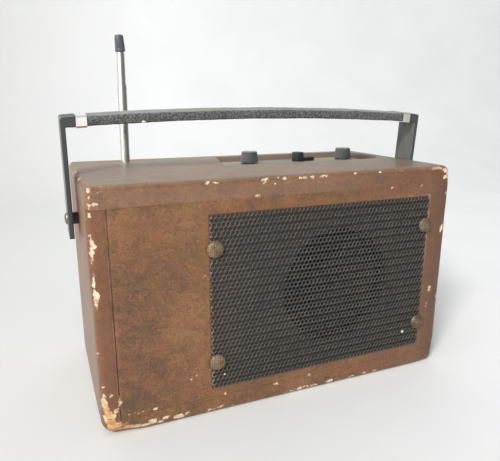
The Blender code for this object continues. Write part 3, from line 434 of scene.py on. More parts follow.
def bare_spots(look):
    """Where paint is lost, the halo round it, and the filler or timber that shows there."""
    chip = look.sway(look.noise(420, 4, 0.6), 5.4,
                     look.sway(look.noise(170, 2, 0.5), 3.4, look.stored("wear")))
    specks = look.times(look.span(look.noise(260, 5, 0.7), 0.665, 0.68),
                        look.span(look.stored("edge"), 6.0, 2.5))
    bare = look.most(look.span(chip, -0.05, 0.15), specks)
    halo = look.times(look.span(chip, -1.3, 0.0, 0.0, 0.5), look.calc("SUBTRACT", 1.0, bare))
    mottle = look.noise(190, 4, 0.65)
    filler = look.ramp(mottle, (0.36, (0.46, 0.27, 0.14)), (0.46, (0.70, 0.54, 0.36)),
                       (0.60, (0.84, 0.74, 0.58)))
    timber = look.ramp(mottle, (0.36, (0.42, 0.21, 0.09)), (0.50, (0.64, 0.36, 0.17)),
                       (0.64, (0.82, 0.62, 0.38)))
    return bare, halo, look.mix(look.stored("timber"), filler, timber)


def paint_look():
    """Worn brown cabinet paint, from its mottled ground up to its bare chips."""
    look = Look("worn_brown_paint", specular=0.40)
    p = paint_patterns(look)
    brown = paint_ground(look, p)
    for layers in (paint_drifts, paint_joints, paint_dust_and_light):
        brown = layers(look, p, brown)
    bare, halo, under = bare_spots(look)
    look.set("Base Color", look.layered(brown, (halo, (0.26, 0.115, 0.05)), (bare, under)))
    look.set("Roughness", look.most(look.span(p.grain, 0.3, 0.7, 0.34, 0.50),
                                    look.times(bare, 0.85)))
    look.bump(look.calc("ADD", look.noise(900, 3, 0.6), look.cells(520)), 0.16 * MM, 0.55)
    look.bump(look.calc("SUBTRACT", 1.0, bare), 0.30 * MM, 0.8)
    return look.material


def metal_look(name, colour, roughness, scale, streaks=(1, 1, 1), dirt=0.25):
    """Bare metal with cloudy smudges and fine scratches."""
    look = Look(name, metallic=1.0)
    clouds = look.noise(scale, 4, 0.6)
    scratches = look.noise(900, 3, 0.6, look.stretched(streaks))
    soiled = tuple(c * (1 - dirt) for c in colour)
    look.set("Base Color", look.ramp(clouds, (0.35, soiled), (0.60, colour)))
    spread = look.calc("MULTIPLY_ADD", scratches, 0.16, look.span(
        clouds, 0.3, 0.7, roughness * 1.25, roughness * 0.75))
    look.set("Roughness", look.calc("SUBTRACT", spread, 0.06))
    look.bump(scratches, 0.02 * MM, 0.25)
    return look.material


def antenna_look():
    """Chromed tube, bright to the front, with painted dark reflections along its two sides."""
    look = Look("antenna_chrome", metallic=1.0)
    clouds = look.noise(70, 4, 0.6)
    east, north, _ = look.axes(look.facing)
    across = look.calc("MULTIPLY_ADD", east, 0.92, look.times(north, -0.38))
    across = look.sway(clouds, 0.04, across)
    base = look.ramp(clouds, (0.35, (0.82, 0.82, 0.73)), (0.6, (0.93, 0.93, 0.86)))
    # painted reflections: a wide dark band along the tube's right side and a thin one along its
    # left
    look.set("Base Color", look.layered(
        base, (look.span(across, 0.12, 0.32, 0.0, 0.92), (0.36, 0.36, 0.325)),
        (look.span(across, -0.70, -0.84, 0.0, 0.85), (0.34, 0.34, 0.30))))
    look.set("Roughness", look.span(clouds, 0.3, 0.7, 0.32, 0.20))
    look.bump(look.noise(900, 3, 0.6), 0.02 * MM, 0.2)
    return look.material


def matte_look(name, dark, light, roughness, patch=40.0, grain=1200.0, relief=0.03 * MM):
    """Plastic, paint, paper or ceramic: two tones, a fine grain and uneven gloss."""
    look = Look(name)
    patches = look.noise(patch, 4, 0.6)
    fine = look.noise(grain, 3, 0.6)
    look.set("Base Color", look.two_tone(fine, 0.3, patches, dark, light))
    look.set("Roughness", look.span(patches, 0.3, 0.7, roughness + 0.1, roughness - 0.08))
    look.bump(fine, relief, 0.5)
    return look.material


def leatherette_look():
    """Black pebble-grained wrap, with a painted grey sheen on its upward faces."""
    look = Look("leatherette_wrap", specular=0.5)
    pebbles = look.cells(560)
    folds = look.noise(260, 4, 0.6, look.stretched((0.6, 1.5, 1.5)))
    up = look.axes(look.facing)[2]
    # painted sheen: the upward faces lighter grey, broken up by patches and by the pebbles
    worn = look.times(look.span(up, 0.45, 0.85, 0.15, 1.0),
                      look.span(look.noise(28, 4, 0.65), 0.3, 0.6, 0.55, 1.0),
                      look.span(pebbles, 0.15, 0.60, 1.0, 0.62))
    base = look.ramp(pebbles, (0.10, (0.200, 0.208, 0.202)), (0.65, (0.044, 0.046, 0.046)))
    look.set("Base Color", look.mix(worn, base, (0.345, 0.348, 0.322)))
    look.set("Roughness", look.span(folds, 0.3, 0.7, 0.62, 0.44))
    look.bump(look.calc("SUBTRACT", 1.0, pebbles), 0.40 * MM, 1.0)
    look.bump(folds, 0.25 * MM, 0.5)
    return look.material


def arm_look():
    """Grey-green moulded arms with scuffed faces, and painted shade on their narrow edges."""
    look = Look("arm_plastic", specular=0.5)
    scuffs = look.noise(60, 5, 0.7, look.stretched((1, 1, 0.35)))
    fine = look.noise(800, 3, 0.65)
    face = look.two_tone(fine, 0.3, scuffs, (0.098, 0.102, 0.094), (0.212, 0.216, 0.197),
                         (0.38, 0.62))
    # painted shade on the narrow edges, which face away from the sides
    edge = look.span(look.calc("ABSOLUTE", look.axes(look.facing)[0]), 0.75, 0.45)
    look.set("Base Color", look.mix(edge, face, (0.054, 0.059, 0.059)))
    look.set("Roughness", look.span(scuffs, 0.3, 0.7, 0.52, 0.36))
    look.bump(fine, 0.06 * MM, 0.5)
    return look.material


def grille_look():
    """Black enamel on a perforated sheet: ridges with painted highlights, even rows with painted
    shade, a dusty left edge.
    """
    look = Look("grille_enamel", roughness=0.5, specular=0.35)
    dusty = look.noise(22, 4, 0.6)
    fine = look.noise(480, 3, 0.6)
    x = look.place()[0]
    left = GRILLE_LOW.x / MM
    # painted shade on the even rows, more toward the right, so highlights show on every other row
    banded = look.times(look.calc("SUBTRACT", 1.0, look.stored("row")),
                        look.span(x, left + 20, left + 100, 0.25, 0.85))
    # painted highlights on the ridges
    ridge_highlights = look.times(look.span(look.stored("ridge"), 0.15, 0.95),
                        look.span(fine, 0.38, 0.62, 0.15, 1.4))
    tone = look.mix(look.span(look.noise(14, 3, 0.5), 0.42, 0.58), (0.205, 0.175, 0.148),
                    (0.175, 0.174, 0.155))
    side = look.times(look.span(x, left + 1.8, left + 0.4), look.span(fine, 0.4, 0.55))
    base = look.ramp(dusty, (0.35, (0.044, 0.044, 0.041)), (0.65, (0.074, 0.060, 0.049)))
    look.set("Base Color", look.layered(base, (banded, (0.018, 0.018, 0.016)), (ridge_highlights, tone),
                                        (side, (0.29, 0.27, 0.24))))
    look.set("Roughness", look.span(dusty, 0.3, 0.7, 0.44, 0.62))
    look.bump(fine, 0.03 * MM, 0.5)
    return look.material


def stud_look(name, tone):
    """Tarnished brass, darker in the hollows of its cross-hatch."""
    look = Look(name, metallic=0.55)
    tarnish = look.noise(240, 4, 0.6)
    x, _, z = look.axes(look.here)
    rise, fall = (look.calc("COSINE", look.times(look.calc(operation, x, z), STUD_HATCH))
                  for operation in ("ADD", "SUBTRACT"))
    hollow = look.span(look.times(rise, fall), 0.5, -0.6, 0.0, 0.75)
    dark = tuple(c * 0.40 for c in tone)
    look.set("Base Color", look.mix(hollow, look.ramp(tarnish, (0.36, dark), (0.62, tone)), dark))
    look.set("Roughness", look.span(tarnish, 0.3, 0.7, 0.62, 0.42))
    look.bump(look.noise(600, 3, 0.6), 0.20 * MM, 0.8)
    return look.material


def wood_look(name, dark, light):
    """Bare timber or pressed board, with a grain along Z."""
    look = Look(name, roughness=0.7)
    rings = look.noise(70, 4, 0.65, look.stretched((1, 1, 0.08)))
    fibres = look.noise(700, 3, 0.6, look.stretched((1, 1, 0.15)))
    look.set("Base Color", look.two_tone(fibres, 0.4, rings, dark, light))
    look.set("Roughness", look.span(fibres, 0.3, 0.7, 0.8, 0.6))
    look.bump(fibres, 0.08 * MM, 0.6)
    return look.material


def turned(degrees, axis):
    """A matrix that turns about an axis."""
    return Matrix.Rotation(math.radians(degrees), 4, axis)


def moved(x, y, z):
    """A matrix that moves."""
    return Matrix.Translation((x, y, z))


def linked(name, data):
    """A new object of some data, in the scene."""
    thing = bpy.data.objects.new(name, data)
    bpy.context.scene.collection.objects.link(thing)
    return thing


def finished(name, mesh):
    """Turn a bmesh into a mesh, and let the bmesh go."""
    data = bpy.data.meshes.new(name)
    mesh.to_mesh(data)
    mesh.free()
    return data


def new_piece(name, mesh, look, body, stands_for=(), smooth_angle=40):
    """Make an object of a mesh, and hand it to its body and CAD nodes."""
    if isinstance(mesh, bmesh.types.BMesh):
        bmesh.ops.recalc_face_normals(mesh, faces=mesh.faces)
        mesh = finished(name, mesh)
    mesh.materials.clear()
    mesh.materials.append(LOOKS[look])
    mesh.shade_smooth()
    mesh.set_sharp_from_angle(angle=math.radians(smooth_angle))
    piece = linked(name, mesh)
    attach(piece, body)
    if stands_for:
        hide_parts(*stands_for)


def evaluated_mesh(mesh, kind, **settings):
    """Return a mesh with one modifier applied."""
    helper = linked("helper", mesh)
    modifier = helper.modifiers.new(kind, kind)
    for key, value in settings.items():
        setattr(modifier, key, value)
    graph = bpy.context.evaluated_depsgraph_get()
    result = bpy.data.meshes.new_from_object(helper.evaluated_get(graph))
    bpy.data.objects.remove(helper)
    return result


def array_of(items, name):
    """Three numbers for each item, as an array."""
    flat = np.zeros(len(items) * 3, np.float32)
    items.foreach_get(name, flat)
    return flat.reshape(-1, 3).astype(float)


def store(mesh, name, values):
    """Store one number for each point."""
    attribute = mesh.attributes.new(name, "FLOAT", "POINT")
    attribute.data.foreach_set("value", values.astype(np.float32))


def chip_list():
    """Every chip as (centre, radii) in metres: the front's, then random ones elsewhere."""
    chips = []
    for x, z, half_x, half_z in FRONT_CHIPS:
        deep = max(CHIP_REACH, min(half_x, half_z))
        chips.append(((x * MM, -HALF_DEPTH, z * MM), (half_x * MM, deep * MM, half_z * MM)))
    rng = random.Random(SEED)
    for _ in range(FAR_EDGE_CHIPS):
        side = rng.choice((-1, 1))
        high = rng.choice((0.0, HEIGHT))
        kind = rng.choice(("rear", "upright", "side"))
        along = rng.uniform(-0.95, 0.95)
        size = rng.uniform(1.2, 3.4) * MM
        long = size * rng.uniform(1.2, 2.6)
        if kind == "rear":
            chips.append(((along * HALF_WIDTH, HALF_DEPTH, high), (long, size, size)))
        elif kind == "upright":
            chips.append(((side * HALF_WIDTH, HALF_DEPTH, (along + 1) / 2 * HEIGHT),
                          (size, size, long)))
        elif along > -0.6:
            chips.append(((side * HALF_WIDTH, along * HALF_DEPTH, high), (size, long, size)))
    return chips


def wear_at(points, chips):
    """How deep each point lies inside a chip, in mm; below 0 outside."""
    wear = np.full(len(points), NO_WEAR)
    for centre, radii in chips:
        away = np.linalg.norm((points - centre) / radii, axis=1)
        wear = np.maximum(wear, (1.0 - away) * min(radii) / MM)
    return wear


def edge_at(points):
    """Each point's distance from the nearest outer edge of the cabinet, in mm."""
    gaps = np.stack([HALF_WIDTH - abs(points[:, 0]), HALF_DEPTH - abs(points[:, 1]),
                     np.minimum(points[:, 2], HEIGHT - points[:, 2])], axis=1)
    return np.sort(gaps, axis=1)[:, 1] / MM


def timber_at(points):
    """1 near the two corners worn down to bare timber, 0 further away."""
    share = np.zeros(len(points))
    for x, z, reach in TIMBER_CORNERS:
        away = np.linalg.norm(points - np.array((x, -HALF_DEPTH, z)), axis=1)
        share = np.maximum(share, np.clip(2 * (1 - away / reach), 0, 1))
    return share


def snapped(points, source):
    """Put remeshed points back on the CAD surface, and close the joints on the front."""
    tree = BVHTree.FromPolygons([v.co for v in source.vertices],
                                [list(f.vertices) for f in source.polygons])
    points = np.array([tree.find_nearest(Vector(p))[0] for p in points])
    outward = np.abs(points[:, :2]) - np.array((HALF_WIDTH, HALF_DEPTH)) + ARRIS
    on_arris = (outward > 0).all(axis=1)
    reach = np.where(on_arris, np.linalg.norm(outward, axis=1), outward.max(axis=1))
    skin = (reach > ARRIS - JOINT_REACH) & (points[:, 1] < JOINT_BACK)
    for height in JOINT_HEIGHTS:
        near = skin & (abs(points[:, 2] - height) < JOINT_REACH)
        push = np.divide(ARRIS, reach, out=np.ones_like(reach), where=near)
        edge = near & on_arris
        signs = np.sign(points[edge, :2])
        core = np.array((HALF_WIDTH, HALF_DEPTH)) - ARRIS
        points[edge, :2] = signs * (core + outward[edge] * push[edge, None])
        front = near & ~on_arris & (outward[:, 1] > outward[:, 0])
        points[front, 1] = -HALF_DEPTH
        side = near & ~on_arris & (outward[:, 1] <= outward[:, 0])
        points[side, 0] = np.sign(points[side, 0]) * HALF_WIDTH
        points[near, 2] = height
    low, high = JOINT_HEIGHTS
    for place, depth in ((-JOINT_X, CRACK_DEPTH), (JOINT_X, 0.0)):
        near = ((abs(points[:, 0] - place) < JOINT_REACH) & (points[:, 2] > low + JOINT_CLEAR)
                & (points[:, 2] < high - JOINT_CLEAR)
                & (points[:, 1] < -HALF_DEPTH + JOINT_REACH))
        points[near, 0] = place
        points[near, 1] = -HALF_DEPTH + depth
    return points


def wear_corners(points):
    """Draw the worn corners in to rounder shapes."""
    for corner, radius, reach in WORN_CORNERS:
        corner = np.array(corner)
        inward = np.array([-np.sign(corner[0]), -np.sign(corner[1]), 1 if corner[2] == 0 else -1])
        centre = corner + inward * radius
        out = np.maximum((centre - points) * inward, 0.0)
        far = np.linalg.norm(out, axis=1)
        share = np.clip(1 - (np.linalg.norm(points - corner, axis=1) - radius) / reach, 0, 1)
        share = share * share * (3 - 2 * share)
        pull = np.maximum(far - radius, 0.0) * share
        step = np.divide(out, far[:, None], out=np.zeros_like(out), where=far[:, None] > 0)
        points = points + step * inward * pull[:, None]
    return points


def build_cabinet():
    """The five painted boards, remeshed finely, with chips sunk in and edges worn."""
    chips = chip_list()
    for node in ("top_board", "bottom_board", "left_side_board", "right_side_board",
                 "front_baffle"):
        mesh = evaluated_mesh(NODES[node].data.copy(), "REMESH", mode="VOXEL",
                              voxel_size=BOARD_VOXEL, use_smooth_shade=True)
        points = snapped(array_of(mesh.vertices, "co"), NODES[node].data)
        mesh.vertices.foreach_set("co", points.astype(np.float32).ravel())
        mesh.update()
        normals = array_of(mesh.vertex_normals, "vector")
        wear = wear_at(points, chips)
        edge = edge_at(points)
        wobble = np.array([noise.noise(Vector(p) * 900) for p in points])
        sunk = np.clip((wear + wobble * 1.2) / 0.8, 0, 1) * CHIP_DEPTH
        dents = np.array([max(0.0, noise.noise(Vector(p) * 45)) for p in points])
        sunk += dents * np.clip(1 - edge / DENT_REACH, 0, 1) * DENT_DEPTH
        points = wear_corners(points - normals * sunk[:, None])
        mesh.vertices.foreach_set("co", points.astype(np.float32).ravel())
        for name, values in (("wear", wear), ("edge", edge), ("timber", timber_at(points))):
            store(mesh, name, values)
        mesh.update()
        new_piece("cabinet_" + node, mesh, "paint", "cabinet", (node,), 50)


def add_box(mesh, place, *size):
    """Add a box of a size to a bmesh, at a place matrix."""
    bmesh.ops.create_cube(mesh, size=1.0, matrix=place @ Matrix.Diagonal((*size, 1)))


def rounded_box(place, rounding, segments, *size):
    """A box with rounded edges."""
    mesh = bmesh.new()
    add_box(mesh, place, *size)
    bmesh.ops.bevel(mesh, geom=mesh.edges[:], offset=rounding, segments=segments, profile=0.5,
                    affect="EDGES")
    return mesh


def lathe(profile, steps, ribs=0, rib_depth=0.0, place=Matrix.Identity(4)):
    """Turn a closed (radius, height) outline in mm around Z; a third item adds the ribs."""
    mesh = bmesh.new()
    rings = []
    for radius, height, *ribbed in profile:
        if radius == 0:
            rings.append([mesh.verts.new((0, 0, height * MM))])
            continue
        rings.append([])
        for i in range(steps):
            angle = math.tau * i / steps
            r = radius - len(ribbed) * rib_depth * (0.5 - 0.5 * math.cos(ribs * angle))
            point = Vector((r * math.cos(angle), r * math.sin(angle), height))
            rings[-1].append(mesh.verts.new(point * MM))
    pairs = list(zip(rings, rings[1:]))
    if profile[0][0] > 0:
        pairs.append((rings[-1], rings[0]))
    for low, high in pairs:
        for i in range(steps):
            j = (i + 1) % steps
            corners = (low[i % len(low)], low[j % len(low)],
                       high[j % len(high)], high[i % len(high)])
            unique = list(dict.fromkeys(corners))
            if len(unique) > 2:
                mesh.faces.new(unique)
    bmesh.ops.transform(mesh, matrix=place, verts=mesh.verts)
    return mesh


def dome_outline(radius, height, shank_radius, shank_length, steps=8):
    """Outline in mm of a round head at 0 and up, with its shank below."""
    turns = [math.pi / 2 * i / steps for i in range(steps)]
    arc = [(radius * math.cos(turn), height * math.sin(turn)) for turn in turns]
    return [(0, -shank_length), (shank_radius, -shank_length), (shank_radius, 0), *arc,
            (0, height)]


def add_screw(name, metal, place, steps, head, shank, cut, stands_for=()):
    """A slotted round head; head, shank and cut are each (across, along its axis) in mm."""
    radius, height = head
    mesh = lathe(dome_outline(radius, height, *shank), steps)
    bmesh.ops.recalc_face_normals(mesh, faces=mesh.faces)
    blade = bmesh.new()
    add_box(blade, moved(0, 0, height * MM), cut[0] * MM, radius * 2.4 * MM, cut[1] * 2 * MM)
    tool = linked("slot", finished("slot", blade))
    result = evaluated_mesh(finished("head", mesh), "BOOLEAN", operation="DIFFERENCE",
                            solver="EXACT", object=tool)
    bpy.data.objects.remove(tool)
    result.transform(place)
    new_piece(name, result, metal, "cabinet", stands_for)


def build_screws():
    """Slotted heads: four in the back, two on the handle's pivots, four on the panel."""
    for number in (1, 2, 3, 4):
        name = f"back_screw_{number}"
        low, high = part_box(name)
        centre = (low + high) / 2
        base = high.y - 2 * MM
        place = (moved(centre.x, base, centre.z) @ turned(-90, "X")
                 @ Matrix.Rotation(0.6 * number, 4, "Z"))
        add_screw("slotted_" + name, "steel", place, 40, (4.2, 2),
                  (1.75, (base - low.y) / MM), (0.9, 1), (name,))
    for word, side in SIDES:
        name = "pivot_screw_" + word
        low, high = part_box(name)
        tip = low.x if side < 0 else high.x
        place = (moved(tip - side * 2.2 * MM, PIVOT.y, PIVOT.z) @ turned(90 * side, "Y")
                 @ Matrix.Rotation(0.9, 4, "Z"))
        add_screw("slotted_" + name, "brass", place, 48, (5.2, 2.2),
                  (3, (high.x - low.x) / MM - 2.2), (1.1, 0.9), (name,))
    for number, (x, y) in enumerate(((-22, 4), (122, 4), (142, 61), (-9, 61)), start=1):
        place = moved(x * MM, y * MM, PANEL_TOP) @ Matrix.Rotation(0.7 * number, 4, "Z")
        add_screw(f"panel_screw_{number}", "steel", place, 32, (2.6, 1), (1.2, 1.2), (0.6, 0.6))


def grille_hole():
    """One hole's web: its hexagon, the hole's outline, and each point's painted highlight.

    The painted highlight is None on upright webs, where it goes by the row.
    """
    tip = GRILLE_ROW * 2 / 3
    shoulder = GRILLE_ROW - tip
    half = GRILLE_PITCH / 2
    corners = [(0, tip), (half, shoulder), (half, -shoulder), (0, -tip), (-half, -shoulder),
               (-half, shoulder)]
    outer = []
    worn = []
    for (ax, az), (bx, bz) in zip(corners, corners[1:] + corners[:1]):
        outer += [(ax, az), ((ax + bx) / 2, (az + bz) / 2)]
        # each web's painted highlight, by its direction
        falling = (bx - ax) * (bz - az) < 0
        sloped = FALLING_GLINT if falling else RISING_GLINT
        worn += [CORNER_GLINT, None if ax == bx else sloped]
    outer = np.array(outer)
    reach = np.linalg.norm(outer, axis=1)[:, None]
    return outer, outer * HOLE_SHARE + outer / reach * HOLE_ROUND, worn


def build_grille():
    """Staggered perforated sheet: ridged webs round holes, cut off at its four edges."""
    outer, inner, worn = grille_hole()
    front = GRILLE_LOW.y
    back = GRILLE_HIGH.y - 0.1 * MM
    count = len(outer)
    verts = []
    faces = []
    ridge = []
    odd = []
    for r in range(int((GRILLE_HIGH.z - GRILLE_LOW.z) / GRILLE_ROW) + 3):
        for c in range(int((GRILLE_HIGH.x - GRILLE_LOW.x) / GRILLE_PITCH) + 3):
            x = GRILLE_LOW.x + (c - 0.5 + 0.5 * (r % 2)) * GRILLE_PITCH
            z = GRILLE_LOW.z + (r - 0.6) * GRILLE_ROW
            start = len(verts)
            for ring, y in ((outer, front), (inner, front + GRILLE_SLOPE), (inner, back),
                            (outer, back)):
                verts += [(x + dx, y, z + dz) for dx, dz in ring]
            ridge += [UPRIGHT_GLINT[r % 2] if share is None else share for share in worn]
            ridge += [0.0] * count * 3
            odd += [float(r % 2)] * count * 4
            for low in range(start, start + 3 * count, count):
                for i in range(count):
                    j = (i + 1) % count
                    faces.append((low + i, low + j, low + count + j, low + count + i))
    data = bpy.data.meshes.new("speaker_mesh")
    data.from_pydata(verts, [], faces)
    store(data, "ridge", np.array(ridge))
    store(data, "row", np.array(odd))
    mesh = bmesh.new()
    mesh.from_mesh(data)
    bpy.data.meshes.remove(data)
    bmesh.ops.remove_doubles(mesh, verts=mesh.verts, dist=0.01 * MM)
    cuts = (((GRILLE_LOW.x, 0, 0), (-1, 0, 0)), ((GRILLE_HIGH.x, 0, 0), (1, 0, 0)),
            ((0, 0, GRILLE_LOW.z), (0, 0, -1)), ((0, 0, GRILLE_HIGH.z), (0, 0, 1)))
    for point, normal in cuts:
        result = bmesh.ops.bisect_plane(mesh, geom=mesh.verts[:] + mesh.edges[:] + mesh.faces[:],
                                        plane_co=point, plane_no=normal, clear_outer=True)
        edges = [e for e in result["geom_cut"] if isinstance(e, bmesh.types.BMEdge)]
        bmesh.ops.holes_fill(mesh, edges=edges, sides=0)
    loose = [v for v in mesh.verts if not v.link_faces]
    bmesh.ops.delete(mesh, geom=loose, context="VERTS")
    new_piece("perforated_grille", mesh, "grille", "cabinet",
              ("speaker_grille",), 25)


def build_studs():
    """Domed studs with a cross-hatched face, near the grille's corners."""
    for number in (1, 2, 3, 4):
        name = f"grille_stud_{number}"
        low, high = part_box(name)
        centre = (low + high) / 2
        base = low.y + STUD_HEIGHT
        outline = dome_outline((high.x - low.x) / 2 / MM, STUD_HEIGHT / MM, 1.5,
                               (high.y - base) / MM, 20)
        mesh = lathe(outline, 84, place=moved(centre.x, base, centre.z) @ turned(90, "X"))
        for v in mesh.verts:
            if v.co.y < base - 0.3 * MM:
                rise = math.cos((v.co.x + v.co.z) * STUD_HATCH)
                fall = math.cos((v.co.x - v.co.z) * STUD_HATCH)
                v.co.y += STUD_RELIEF * (1 - rise * fall) / 2
        side = "left" if centre.x < 0 else "right"
        new_piece("hammered_" + name, mesh, "stud_" + side, "cabinet",
                  (name,), 75)


def build_knob(body):
    """Fluted knob with a dished, lighter top and a pointer line."""
    name = body + "_knob"
    low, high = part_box(name)
    centre = (low + high) / 2
    base, crown = KNOB_RADII
    height = (high.z - low.z) / MM
    hollow = base - 2
    outline = ((0, 8.5), (SHAFT_BORE, 8.5), (SHAFT_BORE, 3), (hollow, 3), (hollow, 0),
               (base, 0), (base, 1.4), (base - 0.1, 1.7, "ribs"), (crown, height - 1.3, "ribs"),
               (crown - 0.1, height - 0.9), (crown - 0.35, height - 0.25),
               (crown - 0.8, height), (crown - 1.3, height), (crown - 1.7, height - 0.4),
               (0, height - 0.4))
    place = moved(centre.x, CONTROL_Y, low.z)
    new_piece("fluted_" + name, lathe(outline, 144, 36, 0.42, place), "knob", body,
              (name,), 50)
    cap = ((0, height - 0.36), (crown - 1.8, height - 0.36), (crown - 2, height - 0.12),
           (0, height - 0.08))
    new_piece(name + "_inlay", lathe(cap, 64, place=place), "inlay", body)
    bar = bmesh.new()
    add_box(bar, moved(centre.x, CONTROL_Y - crown * 0.42 * MM, high.z - 0.02 * MM),
            0.9 * MM, crown * 0.62 * MM, 0.22 * MM)
    new_piece(name + "_pointer", bar, "ivory", body)


def build_band_lever():
    """Round hub with a dished top and a ridged finger."""
    low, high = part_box("band_lever")
    hub = 6.6
    centre_x = low.x + hub * MM
    height = (high.z - low.z) / MM
    outline = ((0, 7.5), (SHAFT_BORE, 7.5), (SHAFT_BORE, 0), (hub, 0), (hub, height - 0.9),
               (hub - 0.3, height - 0.3), (hub - 0.9, height), (hub - 1.6, height),
               (hub - 2, height - 0.5), (0, height - 0.5))
    near = centre_x + (hub - 1.2) * MM
    finger = rounded_box(moved((near + high.x) / 2, CONTROL_Y, low.z + 1.7 * MM),
                         0.6 * MM, 3, high.x - near, 5.5 * MM, 3.4 * MM)
    parts = [("hub", lathe(outline, 72, place=moved(centre_x, CONTROL_Y, low.z)),
              ("band_lever",)), ("finger", finger, ())]
    for i in range(4):
        place = moved(high.x - (1.6 + 1.7 * i) * MM, CONTROL_Y, low.z + 3.55 * MM)
        parts.append((f"rib_{i + 1}", rounded_box(place, 0.15 * MM, 2, 0.7 * MM, 4.6 * MM,
                                                  0.5 * MM), ()))
    for word, mesh, stands_for in parts:
        new_piece("band_lever_" + word, mesh, "black", "band", stands_for)


def build_dial_marks():
    """Generic tick marks round the two knobs and the lever, raised a hair from the panel."""
    for name, x, radius, count, sweep, start in DIALS:
        marks = bmesh.new()
        for i in range(count):
            turn = start - sweep + 2 * sweep * i / (count - 1)
            long = (3.0 if i % 5 == 0 else 1.9) * MM
            spoke = turned(turn, "Z") @ moved(radius * MM + long / 2, 0, 0)
            add_box(marks, moved(x * MM, CONTROL_Y, PANEL_TOP + 0.06 * MM) @ spoke,
                    long, 0.5 * MM, 0.1 * MM)
        new_piece(name + "_dial_marks", marks, "ivory", "cabinet")


def grip_section():
    """The grip's rounded cross-section, with extra points along its two wide faces."""
    section = []
    flat_y = GRIP_HALF_WIDE - GRIP_ROUNDING
    flat_z = GRIP_HALF_THICK - GRIP_ROUNDING
    for side_y, side_z, start in ((1, 1, 0), (-1, 1, 90), (-1, -1, 180), (1, -1, 270)):
        for step in range(5):
            angle = math.radians(start + 22.5 * step)
            section.append((side_y * flat_y + GRIP_ROUNDING * math.cos(angle),
                            side_z * flat_z + GRIP_ROUNDING * math.sin(angle)))
        if start in (0, 180):
            section += [(side_y * GRIP_HALF_WIDE * t, side_z * GRIP_HALF_THICK)
                        for t in (0.7, 0.45, 0.2, -0.05, -0.3, -0.55, -0.75)]
    return section


def build_grip():
    """Leatherette sleeve swept along the bow, with soft swells, creases and a lapped seam."""
    section = grip_section()
    mesh = bmesh.new()
    rings = []
    for i in range(GRIP_STATIONS + 1):
        x = -GRIP_HALF_LENGTH + 2 * GRIP_HALF_LENGTH * i / GRIP_STATIONS
        bow = ARCH_CREST - ARCH_SAG * (x / ARCH_SPAN) ** 2
        swell = 0.25 * MM * noise.noise(Vector((x * 30, 0, 0)))
        lump = 0.5 * MM * math.exp(-((x - 96 * MM) / (9 * MM)) ** 2)
        ring = []
        for y, z in section:
            rough = 0.18 * MM * noise.noise(Vector((x, y * 1.5, z * 1.5)) * 260)
            height = z * (1 + (swell + rough - 0.2 * MM) / GRIP_HALF_THICK)
            if z > 0:
                height += lump
            elif abs(y) < SEAM_HALF_WIDTH:
                height += SEAM_DEPTH
            place = Vector((x, y * (1 + (rough - 0.1 * MM) / GRIP_HALF_WIDE), bow + height))
            ring.append(mesh.verts.new(HANDLE_FRAME @ place))
        rings.append(ring)
    count = len(section)
    for low, high in zip(rings, rings[1:]):
        for i in range(count):
            j = (i + 1) % count
            mesh.faces.new((low[i], low[j], high[j], high[i]))
    mesh.faces.new(rings[0])
    mesh.faces.new(rings[-1])
    new_piece("wrapped_grip", mesh, "leatherette", "handle", ("handle_grip",), 60)


def build_small_domes():
    """A tear that shows the grip's white backing, a rivet on each arm, and two paint drops."""
    nick = moved(-110 * MM, -12.75 * MM, 81.6 * MM) @ turned(90, "X")
    nick = HANDLE_FRAME @ nick @ Matrix.Diagonal((1.5, 1, 1, 1))
    domes = [("grip_tear", nick, (1.1, 0.35, 0.8, 0.5), 14, "ivory", "handle", "leatherette")]
    for word, side in SIDES:
        place = moved(side * 171.3 * MM, 4 * MM, 74 * MM) @ turned(-90 * side, "Y")
        domes.append((f"arm_rivet_{word}", HANDLE_FRAME @ place, (2.2, 0.7, 0.9, 0.8), 28,
                      "arm", "handle", "steel"))
    for number, x, z, radius in ((1, 122.7, 41, 1.45), (2, -64, 36, 0.8)):
        place = moved(x * MM, GRILLE_LOW.y + 0.02 * MM, z * MM) @ turned(90, "X")
        domes.append((f"paint_drop_{number}", place, (radius, 0.35, 0.7 * radius, 0.3), 24,
                      "ivory", "cabinet", "cabinet_paint"))
    for name, place, outline, steps, look, body, slot in domes:
        new_piece(name, lathe(dome_outline(*outline, 6), steps, place=place), look, body)


def build_antenna():
    """Outer tube and second tube with rolled ends, and the grooved cap."""
    for name, body, radius, foot, top, length in (
            ("antenna_base_tube", "antenna_base", 4.25, 5.3, 74.3, 170),
            ("antenna_tube_2", "antenna_second", 3.65, 3.65, 104.0, 160)):
        inside = radius - 0.3
        low = top - length
        outline = ((inside, low), (foot, low), (foot, low + 3), (radius, low + 3.2),
                   (radius, top - 1.6), (radius - 0.10, top - 1.3), (radius, top - 1),
                   (radius, top - 0.5), (radius - 0.245, top - 0.1), (inside, top - 0.05))
        new_piece("rolled_" + name, lathe(outline, 64, place=ANTENNA_FRAME), "antenna", body,
                  (name,), 30)
    cap = ((0, 8), (2, 8), (2, 2), (3.65, 2), (3.65, 0), (4.6, 0), (4.8, 0.4), (4.75, 2.2),
           (4.5, 2.5), (4.65, 2.8), (4.1, 13.6), (3.7, 14.6), (2.8, 15), (0, 15))
    place = ANTENNA_FRAME @ moved(0, 0, CAP_BOTTOM) @ turned(CAP_LEAN, "Y")
    new_piece("grooved_tip_cap", lathe(cap, 48, place=place), "cap", "antenna_tip",
              ("antenna_tip_cap",), 45)


